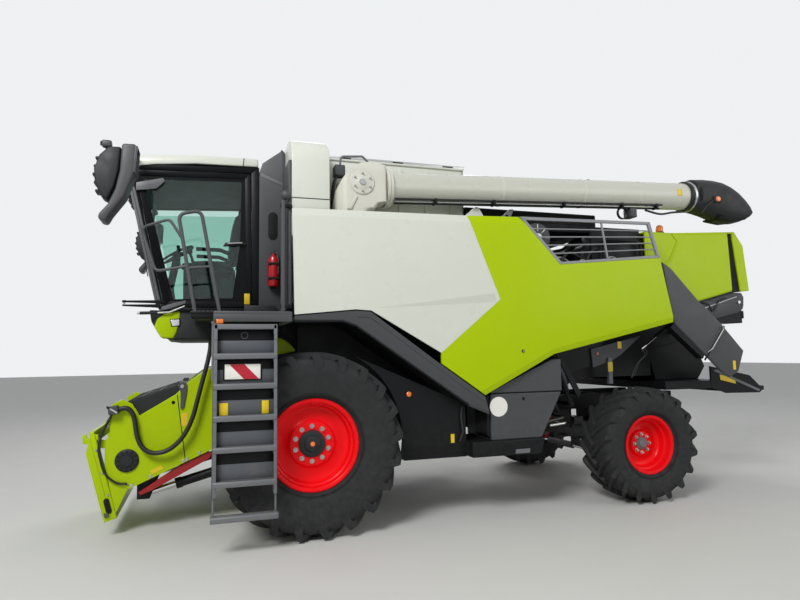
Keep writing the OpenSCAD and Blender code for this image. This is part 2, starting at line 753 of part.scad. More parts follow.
module cab_controls() {
    floor_z = cab_floor + cab_t;
    color(dark_grey) at_body() {
        block([seat_x - 180, seat_x + 180], [-180, 180], [floor_z + gap, seat_z - gap]);
        // Right console with the display, and the steering column
        block([seat_x - 350, seat_x + 250], [300, 480], [floor_z + gap, 2820]);
        block([seat_x - 420, seat_x - 380], [300, 620], [2800, 3050]);
        bar([seat_x - 400, 440, 2750], [seat_x - 340, 440, 2900], 40);
        difference() {
            bar([seat_x - 470, 0, floor_z], [seat_x - 420, 0, 2880], 90);
            block([seat_x - 700, seat_x - 400], [-100, 100], [floor_z - 50, floor_z + gap]);
        }
        translate([seat_x - 420, 0, 2880]) rotate([0, -30, 0]) cylinder(h = 30, d = 400);
    }
}

module cab_door() {
    y = cab_w / 2;
    color(black) at_body() {
        difference() {
            side_plate(door_outline, [-y, -y + 40]);
            side_plate(door_hole, [-y - 10, -y + 60]);
        }
        // Hinge arms to the axis before the pillar, and the handle
        for (h = door_hinges) difference() {
            union() {
                block([door_axis[0], h[0] + 55], [door_axis[1] - 15, door_axis[1] + 15], [h[1] - 18, h[1] + 18]);
                block([h[0] + 35, h[0] + 55], [door_axis[1], -y + 1], [h[1] - 18, h[1] + 18]);
                translate([door_axis[0], door_axis[1], h[1] - 30]) cylinder(h = 60, d = 46);
            }
            translate([door_axis[0], door_axis[1], h[1] - 40]) cylinder(h = 80, d = hinge_pin_d + 2 * gap);
        }
        block([-760, -600], [-y - 25, -y + 5], [2860, 2900]);
    }
}

module door_glass() {
    color("#7fa89a", 0.5) at_body() side_plate(door_hole, [-cab_w / 2 + 15, -cab_w / 2 + 15 + pane_t]);
}

// Platform with its guard rails and the post at the tank

platform_y = [-1700, -cab_w / 2 - 30];
platform_z = [2035, 2130];
platform_x = [-1120, -230];
// Hand rail at the head of the ladder
hoop = [
    [-1080, -1620, platform_z[1] - 10], [-1240, -1600, 3080], [-1020, -1600, 3120], [-870, -1620, platform_z[1] - 10]
];

module platform() {
    color(dark_grey) at_body() {
        block(platform_x, platform_y, platform_z);
        for (x = [-850, -540]) block([x, x + 60], [platform_y[1] - 5, -cab_w / 2 + 60], platform_z);
        pipe(hoop, 36);
        pipe([between(hoop[0], hoop[1], 0.6), [-1420, -1560, 2640], [-1580, -1500, 2880], between(hoop[0], hoop[1], 0.8)], 26);
        bar(between(hoop[0], hoop[1], 0.45), between(hoop[3], hoop[2], 0.45), 26);
        bar([-270, -1460, platform_z[1] - 10], [-270, -1480, 3100], 40);
        // Post with the vertical pin that carries the ladder
        translate([ladder_axis[0], ladder_axis[1], hinge_z[0] - 20]) cylinder(h = platform_z[0] - hinge_z[0] + 25, d = ladder_pin_d);
    }
}

// Ladder that hangs on a vertical axis at its front rail

ladder_x = [-925, -370];
ladder_y = [-1780, -1690];
ladder_z = [520, 2010];
ladder_axis = [-905, -1665];
ladder_pin_d = 40;
hinge_z = [1520, 2010];
rung_z = [840, 1120, 1410, 1700];

module ladder() {
    color(dark_grey) at_body() {
        for (x = [ladder_x[0], ladder_x[1] - 40]) block([x, x + 40], ladder_y, ladder_z);
        for (z = concat([ladder_z[0] + 40], rung_z)) {
            block([ladder_x[0] + 5, ladder_x[1] - 5], ladder_y, [z - 40, z]);
            block([ladder_x[0] + 5, ladder_x[1] - 5], [ladder_y[1] - 12, ladder_y[1]], [z, z + 150]);
        }
        block([ladder_x[0] + 5, ladder_x[1] - 5], ladder_y, [ladder_z[1] - 45, ladder_z[1]]);
        // Sleeve on the vertical pin of the platform
        difference() {
            translate([ladder_axis[0], ladder_axis[1], hinge_z[0]]) cylinder(h = hinge_z[1] - hinge_z[0], d = ladder_pin_d + 24);
            translate([ladder_axis[0], ladder_axis[1], hinge_z[0] - 10])
                cylinder(h = hinge_z[1] - hinge_z[0] + 20, d = ladder_pin_d + 2 * gap);
        }
        // Lowest step on its two links
        for (x = [ladder_x[0] + 5, ladder_x[1] - 20]) block([x, x + 15], [-1750, -1735], [300, ladder_z[0] + 10]);
        block([ladder_x[0] - 10, ladder_x[1] + 10], ladder_y, [265, 310]);
    }
}

// Mirrors at the front corners, and the lamps

mirror_y = [-1780, -1520];

mirror_shell = [
    [-1720, 50], [-1610, 55], [-1655, -220], [-1740, -410], [-1860, -560], [-1905, -640], [-1960, -630],
    [-1965, -580], [-1880, -480], [-1810, -350], [-1765, -180]
];
mirror_back = [
    [-1715, 30], [-1755, -180], [-1800, -340], [-1868, -474], [-1930, -440], [-1985, -310], [-1990, -180],
    [-1940, -50], [-1850, 25]
];

module mirrors() {
    color(black) at_body() translate([0, 0, cab_top]) both_sides() {
        side_plate(mirror_shell, mirror_y);
        side_plate(mirror_back, [mirror_y[0] + 30, mirror_y[1] - 50]);
        pipe([
            [-1740, mirror_y[1] - 60, -40], [-1680, -1150, 75], [-1680, -cab_w / 2 - 10 - gap, 75]
        ], 40);
        // Camera on its stalk
        pipe([[-1890, -1640, -20], [-1935, -1640, 50], [-1925, -1640, 95]], 24);
        block([-1975, -1890], [-1675, -1605], [60, 125]);
    }
}

module lamps() {
    color("#f08a20") at_body() {
        // Beacons on the straw hood, then the working lights under the roof's front
        both_sides() translate([beacon_x, -1080, hood_z + gap]) cylinder(h = 120, d = 110);
        for (y = [-700, -420, 420, 700]) block([cab_front_top - 140, cab_front_top - 60], [y - 90, y + 90], [cab_top - 80, cab_top + 7.7]);
    }
}

// Feeder house in the pose of the photograph

feeder_side = [
    [-1880, 1110], [-1870, 1260], [-1770, 1320], [-1670, 1270], [-1610, 1150], [-1270, 1350], [-1150, 1470],
    [-970, 1600], [-520, 1670], [-350, 1680], [-170, 1600], [-90, 1420], [-170, 1240], [-350, 1160], [-480, 990],
    [-940, 790], [-1670, 470], [-1820, 530], [-1878, 575], [-1900, 650], [-1910, 700], [-1910, 930], [-1865, 970]
];
channel_top = [[-1900, 1080], [-1600, 1130], [-1270, 1330], [-970, 1580], [-520, 1650]];
channel_low = [[-1820, 545], [-1670, 492], [-940, 810], [-480, 1010]];
hatch = [[-1720, 1295], [-1260, 1440], [-1170, 1440], [-1275, 1330], [-1600, 1135], [-1650, 1230]];
drum = [-1710, 720];
lock_bar = [
    [-1600, 400], [-1580, 372], [-1480, 410], [-930, 690], [-905, 745], [-950, 830], [-1010, 800], [-1250, 620]
];

// Sheet between the side plates along a line of X and Z, t thick
module sheet_along(points, y, t) {
    for (i = [0 : len(points) - 2]) {
        d = points[i + 1] - points[i];
        n = [-d[1], d[0]] / norm(d) * t / 2;
        e = d / norm(d) * 2;
        side_plate([points[i] - n - e, points[i + 1] - n + e, points[i + 1] + n + e, points[i] + n - e], y);
    }
}

// Lift cylinders: the barrel's pin under the front axle and the rod's eye under the feeder house
lift_y = 560;
lift_pin = [-250, 700];
lift_eye = [-1560, 360];
lift_dir = (lift_eye - lift_pin) / norm(lift_eye - lift_pin);
barrel_l = 1040;

module feeder_house() {
    y = feeder_y;
    color(lime) at_body() {
        both_sides() side_plate(feeder_side, [-y, -y + feeder_t]);
        sheet_along(channel_top, [-y + 5, y - 5], feeder_t);
        sheet_along(channel_low, [-y + 5, y - 5], feeder_t);
        // Pivot drum and its journals in the cheeks
        across(feeder_pivot[0], feeder_pivot[1], [-y + 5, y - 5], 300);
        across(feeder_pivot[0], feeder_pivot[1], [-cheek_y - 40, cheek_y + 40], 90);
        // Coupler of the hydraulic lines
        at_coupler() block([-90, 0], [-y - 95, -y + 1], [-40, 40]);
        // Hatch on the top, covers of the drum's bearings and the lock bars of the lift cylinders
        side_plate(hatch, [-y + 40, y - 40]);
        both_sides() {
            across(drum[0], drum[1], [-y - 22, -y + 1], 244);
            across(drum[0], drum[1], [-y - 34, -y + 1], 120);
            side_plate(lock_bar, [-y + 15, -y + 55]);
        }
        // Lugs for the rods' eyes
        both_sides() for (dy = [-65, 45]) side_plate([
            [lift_eye[0] - 60, 520], lift_eye + [-60, -40], lift_eye + [60, -40], [lift_eye[0] + 180, 630]
        ], [-lift_y + dy, -lift_y + dy + 20]);
    }
}

front_lean = 15;
front_foot = [-1890, 150];
front_t = 110;
front_h = 870;

header_hook = [
    [-2100, 985], [-2108, 1036], [-2085, 1046], [-2078, 1012], [-2040, 1005], [-2020, 1045], [-1985, 1040], [-1975, 980]
];

module feeder_front() {
    y = feeder_y;
    color(lime) at_body() {
        translate([front_foot[0], 0, front_foot[1]]) rotate([0, -front_lean, 0]) difference() {
            block([0, front_t], [-y - 10, y + 10], [0, front_h]);
            block([-10, front_t + 10], [-y + 80, y - 80], [220, 760]);
        }
        // Hooks for the header, and braces from the frame back to the sides of the feeder house
        both_sides() {
            side_plate(header_hook, [-y, -y + 24]);
            side_plate([[-1970, 860], [-1910 - gap, 850], [-1910 - gap, 930], [-1988, 940]], [-y, -y + feeder_t]);
            side_plate([[-1800, 220], [-1690, 478 - 20], [-1820, 530 - gap], [-1885, 580 - gap]], [-y, -y + feeder_t]);
        }
    }
}

module lift_barrels() {
    color(black) at_body() both_sides() {
        difference() {
            union() {
                bar3(lift_pin, lift_pin + lift_dir * barrel_l, -lift_y, barrel_d);
                across(lift_pin[0], lift_pin[1], [-lift_y - 40, -lift_y + 40], barrel_d);
            }
            bar3(lift_pin + lift_dir * 120, lift_pin + lift_dir * (barrel_l + 50), -lift_y, rod_d + 2 * gap);
            across(lift_pin[0], lift_pin[1], [-lift_y - 60, -lift_y + 60], pin_d + 2 * gap);
        }
    }
}

// Bar in the plane at y between two points of X and Z
module bar3(p, q, y, d) bar([p[0], y, p[1]], [q[0], y, q[1]], d);

module lift_rods() {
    color(steel) at_body() both_sides() {
        bar3(lift_pin + lift_dir * 380, lift_eye, -lift_y, rod_d);
        across(lift_eye[0], lift_eye[1], [-lift_y - 38, -lift_y + 38], 90);
    }
}

// Hydraulic hose from the cab's underside to the coupler on the feeder house. The coupler's face is square
// to its circle about the feeder's pivot, so that it slides past the hose's end.
hose_d = 46;
coupler = [-1790, 1227];
coupler_dir = (coupler - feeder_pivot) / norm(coupler - feeder_pivot);
hose_end = [coupler[0] - gap * coupler_dir[0], -750, coupler[1] - gap * coupler_dir[1]];

module at_coupler() translate([coupler[0], 0, coupler[1]])
    rotate([0, atan2(coupler_dir[1], -coupler_dir[0]), 0]) children();

hose_route = [
    [-940, -790, nose_z], [-940, -790, 1810], [-970, -800, 1650], [-1020, -800, 1450], [-1060, -800, 1280],
    [-1105, -800, 1110], [-1175, -800, 960], [-1265, -795, 855], [-1365, -790, 798], [-1470, -780, 792],
    [-1555, -770, 838], [-1605, -763, 925], [-1628, -757, 1020], [-1640, -753, 1100], [-1657, -751, 1165],
    [-1685, -750, 1212],
    [hose_end[0] - 65 * coupler_dir[0], hose_end[1], hose_end[2] - 65 * coupler_dir[1]], hose_end
];
hose_sides = 8;

function ring(p, t, r, n) = let (a = unit(cross(t, [0, 1, 0.01])), b = cross(t, a))
    [for (i = [0 : n - 1]) p + r * (cos(360 * i / n) * a + sin(360 * i / n) * b)];
function tangent(r, i) = unit(r[min(i + 1, len(r) - 1)] - r[max(i - 1, 0)]);

module swept(route, d, n) {
    k = len(route);
    points = [for (i = [0 : k - 1]) each ring(route[i], tangent(route, i), d / 2, n)];
    walls = [for (i = [0 : k - 2], j = [0 : n - 1]) [i * n + j, (i + 1) * n + j, (i + 1) * n + (j + 1) % n, i * n + (j + 1) % n]];
    polyhedron(points, concat([[for (j = [0 : n - 1]) j]], walls, [[for (j = [n - 1 : -1 : 0]) (k - 1) * n + j]]));
}

module feeder_hose() {
    color(black) at_body() swept(hose_route, hose_d, hose_sides);
}

// Unloader: the turret turns with the tube about a vertical axis at the tank's shoulder

unload_axis = [450, -1230];
tube_z = 3490;
tube_x = [830, 4780];
tube_rise = 2.4;
flange_t = 30;
spout_w = 340;
spout_t = 12;
spout_outline = [
    [4850, 3500], [4850, 3830], [5230, 3870], [5420, 3790], [5600, 3650], [5720, 3500], [5590, 3380], [5220, 3350],
    [5040, 3440]
];
spout_hollow = [
    [4960, 3500], [4960, 3820], [5225, 3856], [5410, 3778], [5588, 3640], [5740, 3450], [5600, 3300], [5210, 3300],
    [5050, 3452]
];

elbow = [
    [225, 3130], [225, 3260], [262, 3400], [325, 3525], [412, 3640], [520, 3702], [640, 3722], [815, 3690],
    [815, 3300], [705, 3282], [664, 3225], [662, 3130]
];
elbow_w = 380;
// Underside of the elbow's leg, which passes over the side panel
elbow_low = 3190;
// Clear width between the elbow's rounded back and the turret's edge
elbow_in = 10;

module turret() {
    color(off_white) at_body() {
        translate([unload_axis[0], unload_axis[1], shoulder_z + gap]) cylinder(h = 44, d = turret_d);
        intersection() {
            side_plate(elbow, [unload_axis[1] - turret_d / 2, unload_axis[1] + turret_d / 2]);
            translate([unload_axis[0], unload_axis[1], 0]) union() {
                translate([0, 0, shoulder_z]) cylinder(h = 700, d = turret_d - 2 * elbow_in);
                translate([0, -elbow_w / 2, elbow_low]) cube([500, elbow_w, 600]);
            }
        }
        along_tube() translate([0, 0, -flange_t - gap]) cylinder(h = flange_t, d = tube_d + 80);
        // Round boss of the auger's bearing with its cap, and the stay at the foot
        across(520, 3480, [unload_axis[1] - elbow_w / 2 - 14, unload_axis[1] - elbow_w / 2 + 5], 264);
        across(520, 3480, [unload_axis[1] - elbow_w / 2 - 30, unload_axis[1] - elbow_w / 2 + 5], 120);
    }
}

module along_tube() translate([tube_x[0], unload_axis[1], tube_z]) rotate([0, 90 - tube_rise, 0]) children();

module unloading_tube() {
    color(off_white) at_body() along_tube() {
        cylinder(h = tube_x[1] - tube_x[0], d = tube_d);
        cylinder(h = flange_t, d = tube_d + 80);
    }
}

module spout() {
    l = tube_x[1] - tube_x[0];
    color(black) at_body() {
        along_tube() translate([0, 0, l + gap]) cylinder(h = 160, d = tube_d + 30);
        difference() {
            side_plate(spout_outline, [unload_axis[1] - spout_w / 2, unload_axis[1] + spout_w / 2]);
            side_plate(spout_hollow, [unload_axis[1] - spout_w / 2 + spout_t, unload_axis[1] + spout_w / 2 - spout_t]);
        }
    }
}

chassis();
front_axle();
rear_axle();
threshing_body();
grain_tank();
tank_front();
engine();
rear_hood();
rear_covers();
spreader();
side_skirts();
lockers();
cab_frame();
cab_roof();
cab_glass();
cab_seat();
cab_controls();
cab_door();
door_glass();
platform();
mirrors();
lamps();
ladder();
feeder_house();
feeder_front();
lift_barrels();
lift_rods();
feeder_hose();
turret();
unloading_tube();
spout();
tank_lid(-1);  // tank_lid_left
tank_lid(1);  // tank_lid_right
panel_white(-1);  // panel_white_left
panel_green(-1);  // panel_green_left
panel_white(1);  // panel_white_right
panel_green(1);  // panel_green_right
front_rim(-1);  // front_rim_left
front_tyre(-1);  // front_tyre_left
front_rim(1);  // front_rim_right
front_tyre(1);  // front_tyre_right
knuckle(-1);  // knuckle_left
knuckle(1);  // knuckle_right
steering_rod();
rear_rim(-1);  // rear_rim_left
rear_tyre(-1);  // rear_tyre_left
rear_rim(1);  // rear_rim_right
rear_tyre(1);  // rear_tyre_right
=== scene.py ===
"""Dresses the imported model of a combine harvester: finishes, tyre tread, sheet-metal forms, cab interior,
lines and lamps, with a camera and a stage that match the photograph.

Places are in millimetres as in the part's source: X from the front axle to the rear, the left side at -Y
and Z up. place() turns them into the frame's metres.
"""

import json
import math

import bmesh
import bpy
from mathutils import Matrix, Vector

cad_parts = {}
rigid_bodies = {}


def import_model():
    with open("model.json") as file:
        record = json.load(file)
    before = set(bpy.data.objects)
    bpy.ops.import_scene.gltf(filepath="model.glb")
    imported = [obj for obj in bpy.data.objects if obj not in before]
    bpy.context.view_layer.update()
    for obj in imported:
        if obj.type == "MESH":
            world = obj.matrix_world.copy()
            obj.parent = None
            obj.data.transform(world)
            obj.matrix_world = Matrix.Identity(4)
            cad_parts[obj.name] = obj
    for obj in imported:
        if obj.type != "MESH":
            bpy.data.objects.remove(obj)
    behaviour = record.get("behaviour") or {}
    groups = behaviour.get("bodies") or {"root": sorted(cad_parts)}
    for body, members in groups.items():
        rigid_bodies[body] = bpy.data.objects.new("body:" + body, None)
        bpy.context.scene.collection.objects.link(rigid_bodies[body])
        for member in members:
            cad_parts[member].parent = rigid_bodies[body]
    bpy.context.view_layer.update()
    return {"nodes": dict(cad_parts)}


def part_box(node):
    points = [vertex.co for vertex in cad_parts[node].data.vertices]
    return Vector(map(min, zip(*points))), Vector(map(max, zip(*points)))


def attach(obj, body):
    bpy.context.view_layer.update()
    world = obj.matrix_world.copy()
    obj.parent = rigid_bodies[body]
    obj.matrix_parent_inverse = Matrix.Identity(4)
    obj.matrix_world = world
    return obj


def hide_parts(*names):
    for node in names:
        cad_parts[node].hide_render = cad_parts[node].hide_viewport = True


bl_info = {
    "name": "Combine harvester looks",
    "version": (1, 0, 0),
    "blender": (4, 5, 0),
    "location": "3D View > Sidebar > Harvester",
    "description": "Dresses the packed combine harvester with its finishes and details",
    "category": "Object",
}

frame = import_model()


def middle(node):
    """Middle of a CAD node's box, in metres."""
    low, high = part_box(node)
    return Vector([(a + b) / 2 for a, b in zip(low, high)])


# Where the front axle, the source's X = 0, stands in the frame
AXLE = middle("front_tyre_left").x


# Geometry in millimetres


def place(x, y, z):
    """A point of the source's millimetres in the frame's metres."""
    return Vector((x / 1000 + AXLE, y / 1000, z / 1000))


def prism(outline, lift, bevel=0, steps=2):
    """Closed prism of an outline, a list of 3D points in mm, moved along the vector lift."""
    bm = bmesh.new()
    low = [bm.verts.new(Vector(p)) for p in outline]
    high = [bm.verts.new(Vector(p) + Vector(lift)) for p in outline]
    n = len(outline)
    bm.faces.new(low)
    bm.faces.new(high[::-1])
    for i in range(n):
        bm.faces.new((low[(i + 1) % n], low[i], high[i], high[(i + 1) % n]))
    bmesh.ops.recalc_face_normals(bm, faces=bm.faces)
    if bevel:
        round_edges(bm, bevel, steps)
    return bm


def round_edges(bm, width, steps=2, angle=30):
    """Rounds the edges whose faces stand at more than an angle in degrees."""
    sharp = [e for e in bm.edges if len(e.link_faces) == 2 and e.calc_face_angle(0) > math.radians(angle)]
    shape = {"offset_type": "OFFSET", "profile": 0.5, "affect": "EDGES", "clamp_overlap": True}
    bmesh.ops.bevel(bm, geom=sharp, offset=width, segments=steps, **shape)
    return bm


def plate(points, y, bevel=0, steps=2):
    """Outline in X and Z, as thick as y reaches."""
    return prism([(p[0], y[0], p[1]) for p in points], (0, y[1] - y[0], 0), bevel, steps)


def cross(points, x, bevel=0, steps=2):
    """Outline in Y and Z, as long as x reaches."""
    return prism([(x[0], p[0], p[1]) for p in points], (x[1] - x[0], 0, 0), bevel, steps)


def slab(points, z, bevel=0, steps=2):
    """Outline in X and Y, as high as z reaches."""
    return prism([(p[0], p[1], z[0]) for p in points], (0, 0, z[1] - z[0]), bevel, steps)


def block(x, y, z, bevel=0, steps=2):
    return slab([(x[0], y[0]), (x[1], y[0]), (x[1], y[1]), (x[0], y[1])], z, bevel, steps)


def frame_ring(outer, inner, reach, bevel, stuff, form=plate):
    """Flat frame between two outlines with as many corners."""
    sides = zip(outer, outer[1:] + outer[:1], inner[1:] + inner[:1], inner)
    return [(form(list(side), reach, bevel), stuff) for side in sides]


def rod(p, q, d, sides=16, d_end=None, bevel=0):
    """Round bar between two points."""
    p, q = Vector(p), Vector(q)
    bm = bmesh.new()
    ends = {"radius1": d / 2, "radius2": (d_end or d) / 2, "depth": (q - p).length}
    bmesh.ops.create_cone(bm, cap_ends=True, segments=sides, **ends)
    turn = (q - p).to_track_quat("Z", "Y").to_matrix().to_4x4()
    bm.transform(Matrix.Translation((p + q) / 2) @ turn)
    if bevel:
        round_edges(bm, bevel, 2, 50)
    return bm


def rounded_route(points, radius, steps=5):
    """The points with their corners turned into arcs."""
    points = [Vector(p) for p in points]
    route = [points[0]]
    for a, b, c in zip(points, points[1:], points[2:]):
        u, v = (a - b).normalized(), (c - b).normalized()
        angle = u.angle(v, math.pi)
        if angle > math.radians(176):
            route.append(b)
            continue
        cut = min(radius / math.tan(angle / 2), (a - b).length * 0.48, (c - b).length * 0.48)
        start, end = b + u * cut, b + v * cut
        for i in range(steps + 1):
            t = i / steps
            route.append(start * (1 - t) ** 2 + b * 2 * t * (1 - t) + end * t ** 2)
    route.append(points[-1])
    return route


def smooth_route(points, steps=6):
    """A smooth curve through the points."""
    points = [Vector(p) for p in points]
    ends = [points[0] * 2 - points[1]] + points + [points[-1] * 2 - points[-2]]
    route = []
    for a, b, c, d in zip(ends, ends[1:], ends[2:], ends[3:]):
        for i in range(steps):
            t = i / steps
            square, cube = (2 * a - 5 * b + 4 * c - d) * t ** 2, (3 * b - a - 3 * c + d) * t ** 3
            route.append(0.5 * (2 * b + (c - a) * t + square + cube))
    route.append(points[-1])
    return route


def skin(rings):
    """Closed skin over rings of as many points."""
    bm = bmesh.new()
    rows = [[bm.verts.new(p) for p in points] for points in rings]
    n = len(rows[0])
    for a, b in zip(rows, rows[1:]):
        for i in range(n):
            bm.faces.new((a[i], a[(i + 1) % n], b[(i + 1) % n], b[i]))
    bm.faces.new(rows[0])
    bm.faces.new(rows[-1][::-1])
    bmesh.ops.recalc_face_normals(bm, faces=bm.faces)
    return bm


def sweep(route, section):
    """Sweeps a closed section, a list of (side, up) in mm, along a route without twist."""
    rings = []
    up = None
    for i, p in enumerate(route):
        t = (Vector(route[min(i + 1, len(route) - 1)]) - Vector(route[max(i - 1, 0)])).normalized()
        if up is None:
            up = Vector((0, 0, 1)) if abs(t.z) < 0.9 else Vector((1, 0, 0))
        side = t.cross(up).normalized()
        up = side.cross(t).normalized()
        rings.append([Vector(p) + side * s + up * u for s, u in section])
    return skin(rings)


def circle(d, sides=12):
    angles = [2 * math.pi * i / sides for i in range(sides)]
    return [(d / 2 * math.cos(a), d / 2 * math.sin(a)) for a in angles]


def tube(points, d, radius=60, sides=12, steps=5):
    """Bent tube with round corners."""
    return sweep(rounded_route(points, radius, steps) if radius else [Vector(p) for p in points],
        circle(d, sides))


def hose(points, d, sides=12, steps=6):
    """Hose on a smooth curve through its points."""
    return sweep(smooth_route(points, steps), circle(d, sides))


def lathe(profile, sides=48, closed=False):
    """Turns a profile of (radius, along) about the local Y axis."""
    bm = bmesh.new()
    rings = []
    for r, w in profile:
        if r < 0.001:
            rings.append([bm.verts.new((0, w, 0))])
            continue
        rings.append([
            bm.verts.new((r * math.cos(2 * math.pi * i / sides), w, r * math.sin(2 * math.pi * i / sides)))
            for i in range(sides)
        ])
    pairs = list(zip(rings, rings[1:])) + ([(rings[-1], rings[0])] if closed else [])
    for a, b in pairs:
        for i in range(sides):
            j = (i + 1) % sides
            if len(a) == 1 and len(b) > 1:
                bm.faces.new((a[0], b[i], b[j]))
            elif len(b) == 1 and len(a) > 1:
                bm.faces.new((a[i], a[j], b[0]))
            elif len(a) > 1:
                bm.faces.new((a[i], a[j], b[j], b[i]))
    bmesh.ops.recalc_face_normals(bm, faces=bm.faces)
    return bm


def spin(axis, degrees):
    return Matrix.Rotation(math.radians(degrees), 4, axis)


def moved(bm, x=0, y=0, z=0, turn=None):
    bm.transform(Matrix.Translation((x, y, z)) @ (turn or Matrix.Identity(4)))
    return bm


def set_at(part, x=0, y=0, z=0):
    """A (geometry, finish) part, moved."""
    return moved(part[0], x, y, z), part[1]


def mirrored(bm):
    """A copy on the right side."""
    copy = bm.copy()
    for v in copy.verts:
        v.co.y = -v.co.y
    bmesh.ops.reverse_faces(copy, faces=copy.faces)
    return copy


def both(parts):
    """The parts of the left side and their copies on the right."""
    return [part for bm, stuff in parts for part in ((bm, stuff), (mirrored(bm), stuff))]


def piece(name, parts, body, stands_for=(), smooth=35):
    """Makes one object of (geometry, finish) parts, in the frame's metres, that rides on a body."""
    mesh = bpy.data.meshes.new(name)
    whole = bmesh.new()
    stuffs = []
    for bm, stuff in parts:
        if stuff not in stuffs:
            stuffs.append(stuff)
        index = stuffs.index(stuff)
        for f in bm.faces:
            f.material_index = index
            f.smooth = True
        bm.to_mesh(mesh)
        whole.from_mesh(mesh)
        bm.free()
    for v in whole.verts:
        v.co = place(*v.co)
    whole.to_mesh(mesh)
    whole.free()
    for stuff in stuffs:
        mesh.materials.append(FINISH[stuff])
    mesh.set_sharp_from_angle(angle=math.radians(smooth))
    obj = bpy.data.objects.new(name, mesh)
    bpy.context.scene.collection.objects.link(obj)
    if stands_for:
        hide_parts(*stands_for)
    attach(obj, body)
    return obj


# Materials


def linear(hex_colour):
    """sRGB hex colour as linear values with alpha."""
    parts = [int(hex_colour.lstrip("#")[i : i + 2], 16) / 255 for i in (0, 2, 4)]
    return tuple(c / 12.92 if c <= 0.04045 else ((c + 0.055) / 1.055) ** 2.4 for c in parts) + (1.0,)


def add(tree, kind, inputs=None, **settings):
    """Adds a node with its settings, values and links."""
    node = tree.nodes.new(kind)
    for key, value in settings.items():
        setattr(node, key, value)
    for key, value in (inputs or {}).items():
        if isinstance(value, bpy.types.NodeSocket):
            tree.links.new(value, node.inputs[key])
        else:
            node.inputs[key].default_value = value
    return node


def mix(tree, share, one, other):
    """Colour between one and other."""
    return add(tree, "ShaderNodeMix", {0: share, 6: one, 7: other}, data_type="RGBA").outputs[2]


def new_material(name, inputs=None):
    """A material with its tree, its shader, whose inputs are set, and the object coordinates."""
    stuff = bpy.data.materials.new(name)
    stuff.use_nodes = True
    tree = stuff.node_tree
    tree.nodes.clear()
    shader = add(tree, "ShaderNodeBsdfPrincipled", inputs)
    add(tree, "ShaderNodeOutputMaterial", {"Surface": shader.outputs["BSDF"]})
    where = add(tree, "ShaderNodeTexCoord").outputs["Object"]
    return stuff, tree, shader, where


def grain(tree, where, size_mm, detail=2.0, rough=0.5):
    """Noise whose spots are about size_mm across."""
    values = {"Vector": where, "Scale": 1000 / size_mm, "Detail": detail, "Roughness": rough}
    return add(tree, "ShaderNodeTexNoise", values).outputs["Fac"]


def to_range(tree, value, low, high, low_out=0.0, high_out=1.0):
    """A value between low and high as one between low_out and high_out."""
    return add(tree, "ShaderNodeMapRange", {0: value, 1: low, 2: high, 3: low_out, 4: high_out}).outputs[0]


def shade(tree, shader, where, colour, patch_mm=700, amount=0.08, dust="#8a8474", dust_amount=0.0,
        dust_top=1.1):
    """Base colour with soft patches, and road dust that thickens towards the ground."""
    base = linear(colour)
    dark = tuple(c * (1 - amount) for c in base[:3]) + (1.0,)
    shown = mix(tree, grain(tree, where, patch_mm, 4.0), base, dark)
    if dust_amount:
        height = add(tree, "ShaderNodeSeparateXYZ", {0: where}).outputs["Z"]
        low = to_range(tree, height, dust_top, 0.0, 0.0, dust_amount)
        spots = to_range(tree, grain(tree, where, 60, 6.0, 0.65), 0.42, 0.62)
        share = add(tree, "ShaderNodeMath", {0: low, 1: spots}, operation="MULTIPLY").outputs[0]
        shown = mix(tree, share, shown, linear(dust))
    tree.links.new(shown, shader.inputs["Base Color"])


def bump(tree, shader, height, strength, depth_mm):
    relief = add(tree, "ShaderNodeBump", {"Height": height, "Strength": strength, "Distance": depth_mm / 1000})
    tree.links.new(relief.outputs["Normal"], shader.inputs["Normal"])


def uneven(tree, shader, where, low, high, size_mm=250):
    """Roughness that wanders a little, as handling and wiping leave it."""
    spots = to_range(tree, grain(tree, where, size_mm, 5.0), 0.3, 0.7, low, high)
    tree.links.new(spots, shader.inputs["Roughness"])


def enamel(name, colour, low=0.24, high=0.36, coat=0.2, dust=0.0, dust_top=1.1, gloss=0.3):
    """Two-pack enamel sprayed on sheet steel: a clear gloss with a faint orange peel of about 4 mm."""
    values = {"Coat Weight": coat, "Coat Roughness": 0.08, "Specular IOR Level": gloss}
    stuff, tree, shader, where = new_material(name, values)
    shade(tree, shader, where, colour, 900, 0.05, dust_amount=dust, dust_top=dust_top)
    uneven(tree, shader, where, low, high)
    bump(tree, shader, grain(tree, where, 5, 1.0), 0.12, 0.15)
    return stuff


def powder_coat(name, colour, low=0.38, high=0.52, dust=0.25, dust_top=1.2, gloss=0.3):
    """Powder coat baked on welded steel: a satin film with a fine texture, drawn at 3 mm so that it shows."""
    stuff, tree, shader, where = new_material(name, {"Specular IOR Level": gloss})
    shade(tree, shader, where, colour, 500, 0.12, dust_amount=dust, dust_top=dust_top)
    uneven(tree, shader, where, low, high, 180)
    bump(tree, shader, grain(tree, where, 3, 2.0), 0.25, 0.3)
    return stuff


def moulded_plastic(name, colour, low=0.42, high=0.6, size_mm=2.5):
    """Moulded polypropylene: an eroded grain, drawn at 2.5 mm so that it shows, and a dull sheen."""
    stuff, tree, shader, where = new_material(name, {"Specular IOR Level": 0.3})
    shade(tree, shader, where, colour, 300, 0.15)
    uneven(tree, shader, where, low, high, 120)
    cells = add(tree, "ShaderNodeTexVoronoi", {"Vector": where, "Scale": 1000 / size_mm})
    bump(tree, shader, cells.outputs["Distance"], 0.2, 0.25)
    return stuff


